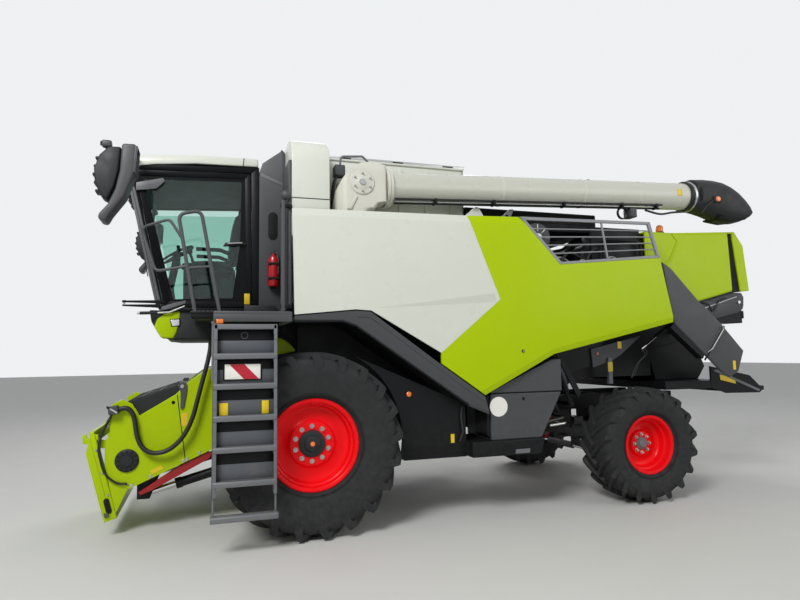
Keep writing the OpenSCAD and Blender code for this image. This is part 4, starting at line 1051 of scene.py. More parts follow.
def make_side_panels():
    for side, name in SIDES:
        white = [(folded_sheet(WHITE, [0, 78, 0, 0, 0, 0, 0], -PANEL_Y, 22, 30), "white")]
        # Pressed crease that widens to the rear
        crease = [(600, 2182), (1925, 2352), (1962, 2262)]
        top = [(x, -PANEL_Y - d, z) for (x, z), d in zip(crease, (0.5, 20, 0.3))]
        white += [
            (skin([top, [(x, -PANEL_Y + 4, z) for x, z in crease]]), "white"),
            (block((-150, 1560), (-PANEL_Y + 30, -PANEL_Y + 46), (2900, 2940), 4), "black"),
        ]
        piece("white_panel_sheet_" + name, on_side(white, side), "panel_" + name, ["panel_white_" + name],
            12)

        green = [(folded_sheet(GREEN, [78, 0, 0, 0, 62, 62, 0, 0, 0, 0], -PANEL_Y, 22, 30), "lime")]
        green += frame_ring(LOUVRE, LOUVRE_IN, (-PANEL_Y - 2, -PANEL_Y + 28), 5, "frame")
        front_top, front_low, rear_low, rear_top = (Vector(corner) for corner in LOUVRE_IN)
        for k in range(1, LOUVRE_FIELDS):
            ends = front_top.lerp(front_low, k / LOUVRE_FIELDS), rear_top.lerp(rear_low, k / LOUVRE_FIELDS)
            green.append((tube([(end.x, -PANEL_Y + 12, end.y) for end in ends], 15, 0, 10), "frame"))
        green += [
            (plate([(3318, 3190), (3338, 3190), (3404, 2778), (3384, 2778)], (-PANEL_Y + 2, -PANEL_Y + 22), 4),
                "frame"),
            # Latch with its key ring
            (moved(lathe([(0, -6), (14, -6), (18, -2), (18, 3), (0, 3)], 20), 2260, -PANEL_Y, 1735), "void"),
            (moved(lathe([(0, -8), (7, -8), (8, -5)], 12), 2260, -PANEL_Y, 1735), "zinc"),
            (block((1700, 2230), (-PANEL_Y + 30, -PANEL_Y + 46), (2900, 2940), 4), "black"),
            (plate([(1560, 1900), (1600, 1900), (2700, 2450), (2700, 2500)], (-PANEL_Y + 30, -PANEL_Y + 44), 4),
                "black"),
        ]
        piece("green_panel_sheet_" + name, on_side(green, side), "panel_" + name, ["panel_green_" + name],
            12)


# Skirts, fenders and lockers


COVER_R = 940


def make_skirts():
    outer = [
        (-180, 2045), (-180, 2103), (420, 2158), (575, 2148), (1315, 1608), (1800, 1268), (1850, 1080),
        (1610, 1180), (420, 2000), (290, 2045),
    ]
    parts = [
        (folded_sheet(outer, [0, 0, 0, 0, 0, 0, 26, 26, 26, 26], -PANEL_Y, 16, 30), "graphite"),
        # Fold line along the skirt, then the ceiling over the wheel and the cover behind it
        (plate([(440, 2096), (572, 2088), (1310, 1552), (1790, 1214), (1795, 1222), (1312, 1566), (575, 2102),
            (440, 2106)], (-PANEL_Y - 5, -PANEL_Y + 4), 2), "graphite"),
    ]
    ceiling = [
        (-180, 2040), (290, 2045), (420, 2000), (1610, 1180), (1640, 1215), (430, 2030), (300, 2070),
        (-180, 2070),
    ]
    parts.append((plate(ceiling, (-PANEL_Y + 5, -790), 5), "black"))
    angles = [math.radians(a) for a in range(-14, 71, 6)]
    round_wheel = [(COVER_R * math.cos(a), 880 + COVER_R * math.sin(a)) for a in angles]
    cover = [(1640, 1190), (1650, 640)] + [p for p in round_wheel if p[1] > 640]
    parts += [
        (plate(cover, (-1330, -1300), 4), "black"),
        (block((950, 1640), (-1334, -1310), (640, 800), 4), "black"),
        (plate([(1300, 1430), (1640, 1200), (1640, 1170), (1300, 1400)], (-1345, -1325), 3), "black"),
    ]
    hole = moved(lathe([(0, -5), (9, -5), (9, 0), (0, 0)], 8), 975, -1334, 668)
    row = repeat(hole, "void", 26, (26, 0, 0))
    parts += [
        repeat(*row, 4, (0, 0, 30)),
        (moved(lathe([(0, -10), (20, -10), (26, -6), (28, 2), (0, 2)], 24), 1015, -1332, 1310), "orange"),
        (moved(lathe([(28, -5), (34, -4), (34, 2), (28, 2)], 24, closed=True), 1015, -1332, 1310), "black"),
        (block((1470, 1510), (-1338, -1326), (790, 880), 2), "yellow"),
        (tube([(1560, -1350, 800), (1600, -1355, 900), (1580, -1350, 1050), (1600, -1340, 1160)], 22, 60, 10),
            "hose"),
    ]
    piece("side_skirt_sheets", both(parts), "machine", ["side_skirts"], 12)


def make_lockers():
    parts = [
        (plate([(1900, 800), (1900, 1284), (2763, 1284), (2500, 800)], (-1420, -790), 10, 3), "graphite"),
        (plate([(1900, 1296), (1900, 1310), (2655, 1640), (2770, 1640), (2770, 1296)], (-1420, -790), 8, 3),
            "graphite"),
        (plate([(1915, 1270), (1915, 1300), (2750, 1300), (2750, 1270)], (-1405, -800), 2), "void"),
        (plate([(2180, 1300), (2300, 1480), (2330, 1480), (2215, 1300)], (-1424, -1410), 3), "graphite"),
        (plate([(1660, 640), (1660, 800), (2520, 800), (2470, 640)], (-1460, -790), 12, 3), "black"),
        (plate([(2150, 655), (2160, 700), (2330, 700), (2320, 655)], (-1466, -1450), 3), "grey"),
        (plate([(1860, 860), (1860, 1270), (1892, 1280), (1892, 820)], (-1400, -1100), 5), "black"),
        (moved(lathe([(0, -7), (14, -7), (17, -3), (17, 2), (0, 2)], 20), 2290, -1420, 1225), "void"),
        (moved(lathe([(0, -3), (104, -3), (104, 1), (0, 1)], 48), 1990, -1421, 1150), "blank"),
        # Struts, brackets and pipes between the locker and the rear axle
        # that stay clear of the steered rear wheels
        (rod((2800, -1150, 1750), (3066, -1150, 1099), 60, 14), "black"),
        (rod((3060, -1170, 1110), (3060, -640, 1110), 60, 14), "black"),
        (plate([(2790, 1745), (2860, 1745), (3138, 1245), (3092, 1190)], (-1250, -1225), 4), "black"),
        (block((3070, 3110), (-1230, -785), (1225, 1265), 4), "black"),
        (plate([(2950, 1640), (3020, 1660), (3150, 1180), (3080, 1160)], (-1020, -995), 4), "graphite"),
        (block((3705, 3765), (-1000, -955), (1320, 1640), 6), "grey"),
        (block((3694, 3762), (-1006, -998), (1472, 1588), 2), "yellow"),
        (plate([(2880, 1760), (3700, 1900), (3560, 1560), (3100, 1420)], (-950, -925), 5), "black"),
    ]
    cover = [(3480, 1750), (4230, 1910), (3910, 1670), (3770, 1600), (3500, 1520)]
    parts += [
        (plate(cover, (-975, -945), 5), "graphite"),
        (moved(lathe([(0, -8), (18, -8), (22, 0)], 18), 3570, -975, 1690), "red_lens"),
        (block((3865, 3922), (-981, -973), (1750, 1836), 2), "yellow"),
    ]
    for k in range(4):
        y = -1010 - k * 32
        route = [
            (2760, y, 1500 - k * 40), (2880, y - 20, 1180 - k * 30), (2950, y + 60, 1030),
            (3010, -860 + k * 10, 990 + k * 10), (3160, -640, 960 + k * 25),
        ]
        parts.append((hose(route, 24, 8, 4), "hose"))
    parts += [
        (tube([(2700, -1180, 930), (2950, -1156, 968), (2960, -640, 970)], 40, 40, 14), "cast"),
        (tube([(2700, -1260, 900), (2915, -1256, 918), (2925, -640, 920)], 30, 40, 12), "zinc"),
        # Cylinder and hoses of the chaff spreader, over the rear tyre
        (rod((4480, -1040, 1950), (4170, -1040, 1740), 22, 14), "chrome"),
        (rod((4560, -1040, 2004), (4400, -1040, 1896), 44, 16), "black"),
    ]
    for k in range(2):
        line = [(4170, 1740), (4205, 1665), (4080, 1550), (4000, 1390)]
        parts.append((hose([(x + k * 60, -1040 + k * 30, z + k * 20) for x, z in line], 22, 10, 5), "hose"))
    piece("locker_boxes", both(parts), "machine", ["lockers"], 12)


# Engine deck


# Height of the engine's deck
DECK_Z = 2420


def make_engine():
    z = DECK_Z
    parts = [
        (block((1860, 4150), (-1250, 1250), (z - 120, z), 8), "black"),
        (block((2350, 3450), (-330, 330), (z + 180, z + 620), 30, 3), "graphite"),
        (block((2400, 3400), (-200, 200), (z + 600, z + 850), 30, 3), "black"),
        (block((2380, 3420), (-450, -330), (z + 200, z + 480), 20), "graphite"),
        (block((2500, 3350), (-260, 260), (z + 120, z + 190), 10), "graphite"),
    ]
    for x in (2450, 3300):
        parts += both([(block((x, x + 80), (-380, -300), (z - 5, z + 200), 8), "graphite")])
    for k in range(6):
        x = 2440 + k * 160
        parts += [
            (rod((x, -330, z + 520), (x, -440, z + 560), 70, 18), "cast"),
            (rod((x, -200, z + 830), (x, -200, z + 870), 60, 16), "zinc"),
        ]
    parts += [
        (tube([(2420, -450, z + 570), (3320, -450, z + 570)], 84, 0, 18), "cast"),
        (tube([(3320, -450, z + 570), (3480, -470, z + 600), (3560, -600, z + 700), (3560, -850, z + 700)],
            110, 90, 18), "zinc"),
        # Cooling box with its rotary screen on the right side, fan ring towards the engine
        (block((2300, 3700), (900, 1250), (z - 5, z + 760), 16), "graphite"),
    ]
    screen = moved(lathe([(0, 14), (300, 14), (322, 8), (322, 0), (0, 0)], 48), 3000, 1246, z + 380)
    parts += [
        (screen, "void"),
        (moved(lathe([(322, 0), (345, 0), (345, 22), (322, 22)], 48, closed=True), 3000, 1240, z + 380),
            "grey"),
    ]
    blade = block((-30, 30), (0, 10), (60, 290), 3)
    parts += [
        set_at(ring(blade, "plastic", 9), 3000, 860, z + 380),
        (moved(lathe([(300, 0), (330, 0), (330, 60), (300, 60)], 40, closed=True), 3000, 840, z + 380),
            "plastic"),
        # Silencer, air filter and the round intake drum seen through the louvre
        (moved(lathe([(0, -700), (120, -695), (150, -670), (150, 270), (120, 295), (0, 300)], 36),
            3750, 0, z + 560), "graphite"),
    ]
    for y in (-600, 150):
        parts.append((block((3690, 3810), (y, y + 40), (z - 5, z + 430), 6), "black"))
    parts += [
        (moved(lathe([(0, 0), (90, 4), (110, 30), (110, 760), (90, 795), (0, 800)], 32),
            2150, -850, z - 5, spin("X", 90)), "zinc"),
        (moved(lathe([(0, -20), (60, -24), (70, -8), (150, -6), (165, 0), (165, 180), (0, 180)], 40),
            2640, -1240, z + 620), "graphite"),
        (moved(lathe([(0, -30), (40, -30), (46, -22)], 24), 2640, -1240, z + 620), "zinc"),
        set_at(ring(block((-6, 6), (-10, -4), (66, 150), 1), "zinc", 8), 2640, -1240, z + 620),
        (rod((2640, -1070, z + 620), (2640, -450, z + 560), 90, 20), "graphite"),
        (block((2600, 2680), (-1180, -1080), (z - 2, z + 480), 8), "black"),
    ]
    for k, (a, b, c) in enumerate(((2760, 400, 26), (2900, 460, 34), (3080, 380, 22), (3260, 520, 30),
        (3480, 430, 26))):
        route = [
            (a, -1150, z), (a + 40, -1160, z + b * 0.5), (a + 170, -1180, z + b), (a + 420, -1100, z + b - 60),
            (a + 640, -950, z + b * 0.6),
        ]
        parts.append((hose(route, c, 10, 5), "hose" if k % 2 else "zinc"))
    for k in range(3):
        x = 3180 + k * 210
        parts += [
            (block((x, x + 150), (-1180, -1040), (z, z + 240 + 60 * k), 12), "graphite"),
            (rod((x + 75, -1110, z + 240 + 60 * k), (x + 75, -1110, z + 300 + 60 * k), 60, 16), "zinc"),
        ]
    parts += [
        (tube([(2560, -1190, z + 160), (2760, -1200, z + 260), (3150, -1200, z + 290)], 40, 90, 14), "zinc"),
        # Rails and pipes above the deck, under the unloading tube
        (tube([(1950, -1240, z), (1950, -1240, z + 600), (2350, -1240, z + 640)], 34, 60, 12), "black"),
    ]
    for y in (-1200, 1200):
        parts.append((tube([(3560, y, z), (3560, y, z + 640), (4100, y, z + 640), (4100, y, z)], 34, 70, 12),
            "black"))
    parts += [
        (block((3900, 4120), (-600, 600), (z, z + 500), 20), "black"),
        # Air intake housing over the engine on its posts, with its rib, and a black sheet behind the louvre's
        # rear half that paints the shade of the engine bay seen through it
        (block((1860, 3650), (-950, 1250), (z + 755, z + 1000), 18, 3), "black"),
        (block((1900, 3610), (-956, -946), (z + 860, z + 900), 4), "black"),
    ]
    for x in (1880, 3590):
        parts.append((block((x, x + 60), (-940, -880), (z - 5, z + 760), 5), "black"))
    # Black sheet behind the louvre's rear half: painted shade of the engine bay
    parts.append((block((3420, 4130), (-1150, -1110), (z - 5, z + 800), 6), "black"))
    # Rear cradle under the unloading tube
    cradle = [
        (2180, z - 5), (2180, 3245), (2290, 3345), (2340, 3345), (2290, 3235), (2230, 3195), (2230, z - 5),
    ]
    parts += [
        (plate(cradle, (-1250, -1220), 3), "grey"),
        (moved(lathe([(0, -3), (19, -3), (21, 1), (0, 1)], 24), 2250, -1250, 3262), "void"),
    ]
    piece("engine_and_deck", parts, "machine", ["engine"])


# Rear hood, covers and spreader


def make_rear():
    t = 22
    side = [(4170, 2300), (4170, 3190), (4570, 3190), (5470, 3242), (5500, 2452), (4900, 2300)]
    parts = both([
        (folded_sheet(side, [0, 30, 30, 0, 40, 0], -1200, 14, t), "lime"),
        # Recessed facet at the front of the hood
        (plate([(4190, 3165), (4560, 3172), (4640, 3085), (4520, 2860), (4440, 2790), (4190, 2900)],
            (-1206, -1196), 5), "lime"),
        (plate([(4420, 2790), (4450, 2800), (4530, 2860), (4650, 3085), (4570, 3178), (4585, 3180),
            (4668, 3085), (4545, 2850), (4455, 2780)], (-1209, -1196), 2), "lime"),
    ])
    # Rear corner behind the dark slot
    corner = [(5590, 3250), (5720, 3070), (5780, 2480), (5640, 2466), (5560, 3120), (5545, 3248)]
    parts += both([
        (plate(corner, (-1200, -1168), 8, 3), "lime"),
        (plate([(5470, 3243), (5552, 3247), (5650, 2466), (5505, 2452)], (-1180, -1160), 2), "void"),
    ])
    parts += [
        (cross([(-1195, 3170), (-1195, 3190), (1195, 3190), (1195, 3170)], (4170, 4572), 4), "lime"),
        (plate([(4570, 3190), (4570, 3168), (5590, 3228), (5590, 3250)], (-1195, 1195), 4), "lime"),
        (plate([(5590, 3250), (5720, 3070), (5700, 3062), (5574, 3232)], (-1195, 1195), 4), "lime"),
        (plate([(5720, 3070), (5780, 2480), (5756, 2476), (5698, 3062)], (-1195, 1195), 4), "lime"),
        (block((5765, 5786), (-500, 500), (2560, 2960), 8), "graphite"),
        (plate([(4900, 2300), (5510, 2450), (5510, 2472), (4900, 2322)], (-1195, 1195), 3), "black"),
        (plate([(4170, 2301), (4905, 2301), (4905, 2322), (4170, 2322)], (-1195, 1195), 3), "black"),
    ]
    piece("straw_hood_sheets", parts, "machine", ["rear_hood"], 12)

    cover = [
        (4220, 2770), (4360, 2690), (4750, 2300), (5070, 2030), (5390, 1700), (5290, 1450), (5150, 1380),
        (5060, 1420), (4350, 2040),
    ]
    parts = [
        (folded_sheet(cover, [0, 14, 14, 14, 14, 14, 14, 14, 0], -1420, 10, 30), "graphite"),
        (plate([(4765, 1600), (4780, 1588), (5110, 2000), (5096, 2012)], (-1424, -1412), 1), "void"),
    ]
    handle = [(4820, -1424, 1690), (4850, -1465, 1727), (5040, -1465, 1965), (5070, -1424, 2002)]
    parts += [
        (tube(handle, 14, 30, 10), "zinc"),
        (block((5200, 5240), (-1426, -1416), (1470, 1580), 2), "yellow"),
    ]
    for x, z in ((4500, 2240), (4880, 1960)):
        parts.append((rod((x, -1400, z), (x, -790, z), 50, 16), "black"))
    parts.append((plate([(4300, 1990), (4350, 2040), (4790, 1655), (4760, 1610)], (-1405, -1300), 4), "black"))
    piece("rear_side_covers", both(parts), "machine", ["rear_covers"], 12)

    chopper = [(4600, 1330), (4500, 1740), (4940, 1828), (5250, 1890), (5420, 1500), (5300, 1330)]
    parts = [
        (plate(chopper, (-750, 750), 12), "black"),
        (plate([(4450, 1230), (4450, 1331), (5400, 1331), (5420, 1230)], (-1100, 1100), 10), "black"),
    ]
    tray = [(5160, 1240), (5160, 1510), (5800, 1380), (6020, 1190), (5950, 1150), (5400, 1160)]
    parts += both([
        (plate(tray, (-1104, -1078), 6), "black"),
        (plate([(5200, 1450), (5240, 1470), (5960, 1190), (5930, 1165)], (-1112, -1098), 4), "grey"),
        (plate([(5300, 1400), (5310, 1330), (5560, 1275), (5540, 1345)], (-1109, -1100), 2), "yellow"),
    ])
    parts.append((block((5390, 6040), (-1100, 1100), (1180, 1240), 14, 3), "black"))
    for k in range(5):
        y = -900 + k * 450
        parts.append((plate([(5420, 1240), (5420, 1330), (5980, 1260), (6000, 1238)], (y - 6, y + 6), 2),
            "graphite"))
    frame_side = [(4940, 2060), (4940, 2299), (5560, 2430), (5720, 2430), (5720, 2060)]
    parts.append((plate(frame_side, (-1120, 1120), 8), "black"))
    grey_side = [
        (4960, 2130), (4965, 2330), (5030, 2350), (5560, 2455), (5700, 2455), (5735, 2400), (5725, 2280),
        (5650, 2200), (5000, 2060),
    ]
    parts += both([
        (plate(grey_side, (-1150, -1118), 8, 3), "graphite"),
        (hose([(4990, -1160, 2320), (5120, -1170, 2300), (5200, -1165, 2210), (5290, -1170, 2330),
            (5420, -1165, 2380)], 18, 8, 5), "hose"),
        (tube([(5010, -1160, 2230), (5600, -1160, 2400)], 14, 0, 8), "zinc"),
        (rod((5640, -1150, 2330), (5640, -1166, 2330), 40, 18), "zinc"),
        (block((5170, 5250), (-700, -640), (1800, 2070), 6), "graphite"),
    ])
    parts.append(set_at(repeat(block((0, 16), (-4, 4), (0, 120), 1), "zinc", 36, (0, 40, 0)), 5300, -700, 1560))
    # Rear lamps and marker plates on the frame's ends
    for y in (-1000, 1000):
        parts += [
            (block((5720, 5742), (y - 130, y + 130), (2120, 2220), 8), "plastic"),
            (block((5738, 5750), (y - 118, y - 5), (2130, 2210), 5), "red_lens"),
            (block((5738, 5750), (y + 5, y + 118), (2130, 2210), 5), "orange"),
            (block((5718, 5726), (y - 140, y + 140), (2240, 2420), 3), "striped"),
        ]
    parts.append((block((5716, 5728), (-260, 260), (2100, 2220), 3), "blank"))
    piece("chopper_and_spreader", parts, "machine", ["spreader"], 20)


# Cab

CAB_W = 1860
# Heights of the door's hinges, and where their straps meet the leaning frame
HINGES = ((3470, -1690), (2270, -1425))
DOOR = [(-1380, 2225), (-1680, 3585), (-560, 3625), (-540, 2225)]
DOOR_HOLE = [(-1325, 2280), (-1625, 3530), (-615, 3570), (-595, 2280)]
RIGHT_HOLE = [(-1345, 2262), (-1670, 3604), (-590, 3654), (-575, 2262)]


def make_cab_shell():
    coat("cab_glass", "glass")
    y = CAB_W / 2
    outline = [(-1420, 2180), (-1740, 3640), (-470, 3700), (-470, 2180)]
    parts = []
    # Sills, pillars and roof bars of each side, the right side with its fixed window's border
    opening = [(-1388, 2217), (-1688, 3593), (-552, 3633), (-532, 2217)]
    parts += frame_ring(outline, opening, (-y, -y + 60), 3, "ceramic")
    parts += frame_ring(outline, RIGHT_HOLE, (y - 60, y), 5, "black")
    parts += [
        (plate([(-1420, 2180), (-1433, 2240), (-470, 2240), (-470, 2180)], (-y + 60, y - 60), 4), "trim"),
        (plate([(-1735, 3612), (-1740, 3640), (-470, 3700), (-470, 3670)], (-y + 60, y - 60), 4), "trim"),
    ]
    rear = [(-y + 60, 2240), (y - 60, 2240), (y - 60, 3640), (-y + 60, 3640)]
    rear_in = [(-y + 150, 2900), (y - 150, 2900), (y - 150, 3500), (-y + 150, 3500)]
    parts += frame_ring(rear, rear_in, (-530, -470), 3, "trim", cross)
    # Double tube of the front pillars in grey
    for side in (-1, 1):
        yy = side * (y - 12)
        parts += [
            (tube([(-1437, yy, 2215), (-1762, yy, 3640)], 34, 0, 16), "grey"),
            (tube([(-1415, side * (y + 6), 2225), (-1728, side * (y + 6), 3610)], 26, 0, 14), "grey"),
        ]
    # Nose under the windscreen: lime shells beside a black middle, and the base
    nose = [
        (-1520, 2195), (-1500, 2080), (-1440, 1970), (-1370, 1915), (-1270, 1902), (-900, 1902), (-900, 2185),
    ]
    parts.append((plate(nose, (-y + 60, y - 60), 14, 3), "trim"))
    shell = [
        (-1472, 2030), (-1440, 2116), (-1380, 2154), (-1232, 2190), (-1232, 2110), (-1256, 1985), (-1290, 1912),
        (-1405, 1916),
    ]
    lamp = [(-1318, 2092), (-1240, 2102), (-1238, 2042), (-1304, 2034)]
    for side in (-1, 1):
        a, b = (-y + 20, -y + 260) if side < 0 else (y - 260, y - 20)
        face = a if side < 0 else b
        parts += [
            (plate(shell, (a, b), 18, 3), "lime"),
            (plate([(x + (9 if x > -1270 else -9), z + (9 if z > 2060 else -9)) for x, z in lamp],
                (face - 3, face + 3), 2), "void"),
            (plate(lamp, (face - 5, face + 5), 2), "clear_lens"),
        ]
    parts += [
        (plate([(-1232, 2192), (-1256, 1985), (-1292, 1908), (-905, 1903), (-905, 2185)], (-y + 28, y - 28),
            12, 3), "plastic"),
        (block((-901, -470), (-870, 870), (1960, 2181), 8), "black"),
    ]
    parts += both([(block((-900, -50), (-650, -570), (1860, 1961), 8), "black")])
    for h, x in HINGES:
        parts += [
            (plate([(-1756, h - 44), (-1756, h - 30), (x + 10, h - 24), (x + 10, h - 58)], (-y - 36, -y + 5),
                3), "black"),
            (rod((-1740, -y - 25, h - 46), (-1740, -y - 25, h + 14), 18, 16), "zinc"),
        ]
    # The wiper's two arms on the windscreen
    parts += [
        (tube([(-1478, -150, 2260), (-1640, -420, 2900)], 14, 0, 8), "plastic"),
        (tube([(-1560, -640, 2560), (-1735, -250, 3330)], 12, 0, 8), "plastic"),
    ]
    # Lower guard bars before the windscreen
    bar = [(-1625, -y - 12, 2158), (-1330, -y - 10, 2168), (-1190, -y + 2, 2230)]
    parts += both([
        (tube(bar, 22, 40, 12), "zinc"),
        (tube([(-1600, -y - 12, 2159), (-1440, -y - 11, 2164)], 31, 0, 12), "plastic"),
        (plate([(-1430, 2182), (-1400, 2226), (-1290, 2262), (-1180, 2290), (-1182, 2258), (-1330, 2204)],
            (-y - 8, -y + 2), 3), "grey"),
    ])
    piece("cab_frame_and_nose", parts, "machine", ["cab_frame"])

    roof_side = [
        (-1885, 3638), (-1872, 3674), (-1800, 3704), (-1600, 3740), (-1200, 3776), (-900, 3788), (-480, 3792),
        (-480, 3702), (-1100, 3688), (-1500, 3650), (-1735, 3606),
    ]
    parts = [
        (plate(roof_side, (-y - 10, y + 10), 22, 4), "white"),
        (plate([(-1876, 3630), (-1878, 3640), (-1735, 3612), (-1500, 3656), (-1100, 3694), (-482, 3708),
            (-482, 3698), (-1100, 3684), (-1500, 3646), (-1735, 3600)], (-y - 4, y + 4), 0), "void"),
    ]
    parts += both([(plate([(-640, 3706), (-632, 3786), (-624, 3786), (-632, 3706)], (-y - 13, -y - 5), 1),
        "void")])
    parts.append((plate([(-1300, 3764), (-1200, 3792), (-640, 3808), (-600, 3786)], (-500, 500), 6), "white"))
    for k in range(7):
        yy = -780 + k * 260
        bolt_head = moved(lathe([(0, -4), (8, -4), (10, 0), (0, 0)], 10), 0, 0, 0, spin("X", -90))
        parts.append((moved(bolt_head, -560, yy, 3795), "zinc"))
    piece("cab_roof_shell", parts, "machine", ["cab_roof"], 30)

    # Door: black frame with the printed border of its pane, hinges and handle
    parts = frame_ring(DOOR, DOOR_HOLE, (-y, -y + 40), 2, "ceramic")
    border = [(-1300, 2300), (-1596, 3500), (-650, 3538), (-640, 2320)]
    parts += frame_ring(DOOR_HOLE, border, (-y + 8.2, -y + 14.6), 0, "ceramic")
    parts.append((plate([(-596, 2281), (-616, 3569), (-650, 3560), (-660, 2900), (-735, 2281)],
        (-y + 7.6, -y + 14.4), 0), "ceramic"))
    for h, x in HINGES:
        parts += [
            (plate([(-1740, h - 9), (-1740, h + 9), (x + 55, h + 17), (x + 55, h - 17)], (-y - 34, -y - 16), 3),
                "black"),
            (block((x + 35, x + 55), (-y - 25, -y + 1), (h - 16, h + 16), 4), "black"),
            (moved(lathe([(9.3, -10), (19, -10), (19, 10), (9.3, 10)], 24, closed=True),
                -1740, -y - 25, h, spin("X", 90)), "black"),
        ]
    parts += [
        (plate([(-830, 2845), (-810, 2885), (-650, 2900), (-600, 2885), (-600, 2865), (-760, 2850)],
            (-y - 22, -y + 2), 8, 3), "plastic"),
        (tube([(-790, -y - 14, 2868), (-780, -y - 40, 2872), (-640, -y - 40, 2884), (-625, -y - 14, 2880)],
            16, 16, 10), "zinc"),
        (block((-615, -560), (-y - 2, -y + 1), (2256, 2366), 1), "yellow"),
    ]
    arm = [(-1660, 3450), (-1660, 3370), (-1470, 3400), (-1395, 3480), (-1410, 3512)]
    parts.append((plate(arm, (-y - 34, -y - 14), 6), "grey"))
    piece("cab_door_frame", parts, "door", ["cab_door"])
    coat("door_glass", "glass")


def cushion(x, y, z, bulge, cuts=(9, 9, 3)):
    """Crowned pad: a box whose faces swell in the middle and pull in along the seams."""
    bm = bmesh.new()
    nx, ny, nz = cuts
    grid = {}

    def corner(i, j, k):
        if (i, j, k) not in grid:
            u, v, w = 2 * i / nx - 1, 2 * j / ny - 1, 2 * k / nz - 1
            swell = (1 - u ** 4) * (1 - v ** 4)
            px = (x[0] + x[1]) / 2 + (x[1] - x[0]) / 2 * u * (1 - 0.05 * (1 - abs(w)) * abs(u) ** 3)
            py = (y[0] + y[1]) / 2 + (y[1] - y[0]) / 2 * v * (1 - 0.04 * (1 - abs(u)) * abs(v) ** 3)
            pz = (z[0] + z[1]) / 2 + (z[1] - z[0]) / 2 * w * (0.62 + 0.38 * swell) + bulge * swell * max(w, 0)
            grid[(i, j, k)] = bm.verts.new((px, py, pz))
        return grid[(i, j, k)]

    for i in range(nx):
        for j in range(ny):
            bm.faces.new((corner(i, j, nz), corner(i + 1, j, nz), corner(i + 1, j + 1, nz),
                corner(i, j + 1, nz)))
            bm.faces.new((corner(i, j, 0), corner(i, j + 1, 0), corner(i + 1, j + 1, 0), corner(i + 1, j, 0)))
    for k in range(nz):
        for i in range(nx):
            bm.faces.new((corner(i, 0, k), corner(i + 1, 0, k), corner(i + 1, 0, k + 1), corner(i, 0, k + 1)))
            bm.faces.new((corner(i, ny, k), corner(i, ny, k + 1), corner(i + 1, ny, k + 1),
                corner(i + 1, ny, k)))
        for j in range(ny):
            bm.faces.new((corner(0, j, k), corner(0, j, k + 1), corner(0, j + 1, k + 1), corner(0, j + 1, k)))
            bm.faces.new((corner(nx, j, k), corner(nx, j + 1, k), corner(nx, j + 1, k + 1),
                corner(nx, j, k + 1)))
    bmesh.ops.recalc_face_normals(bm, faces=bm.faces)
    bmesh.ops.subdivide_edges(bm, edges=bm.edges, cuts=1, use_grid_fill=True, smooth=0.6)
    bmesh.ops.recalc_face_normals(bm, faces=bm.faces)
    return bm


PUFF_MOST = 0.014


def puff(obj):
    """Blows a pad up with cloth simulation, as foam under its cover, each point within PUFF_MOST metres."""
    scene = bpy.context.scene
    before = obj.data.copy()
    remesh = obj.modifiers.new("even_mesh", "REMESH")
    remesh.mode = "VOXEL"
    remesh.voxel_size = 0.009
    for other in bpy.data.objects:
        other.select_set(False)
    bpy.context.view_layer.update()
    even = bpy.data.meshes.new_from_object(obj.evaluated_get(bpy.context.evaluated_depsgraph_get()))
    obj.modifiers.remove(remesh)
    obj.data = even
    start = [v.co.copy() for v in even.vertices]
    cloth = obj.modifiers.new("cover", "CLOTH")
    cloth.settings.use_pressure = True
    cloth.settings.uniform_pressure_force = 4
    cloth.settings.effector_weights.gravity = 0
    cloth.settings.tension_stiffness = 30
    for number in range(1, 15):
        scene.frame_set(number)
    puffed = bpy.data.meshes.new_from_object(obj.evaluated_get(bpy.context.evaluated_depsgraph_get()))
    obj.modifiers.remove(cloth)
    scene.frame_set(1)
    for v, home in zip(puffed.vertices, start):
        away = v.co - home
        if away.length > PUFF_MOST:
            v.co = home + away.normalized() * PUFF_MOST
    puffed.materials.clear()
    for stuff in before.materials:
        puffed.materials.append(stuff)
    for f in puffed.polygons:
        f.use_smooth = True
        f.material_index = 0
    obj.data = puffed
    bpy.data.meshes.remove(before)


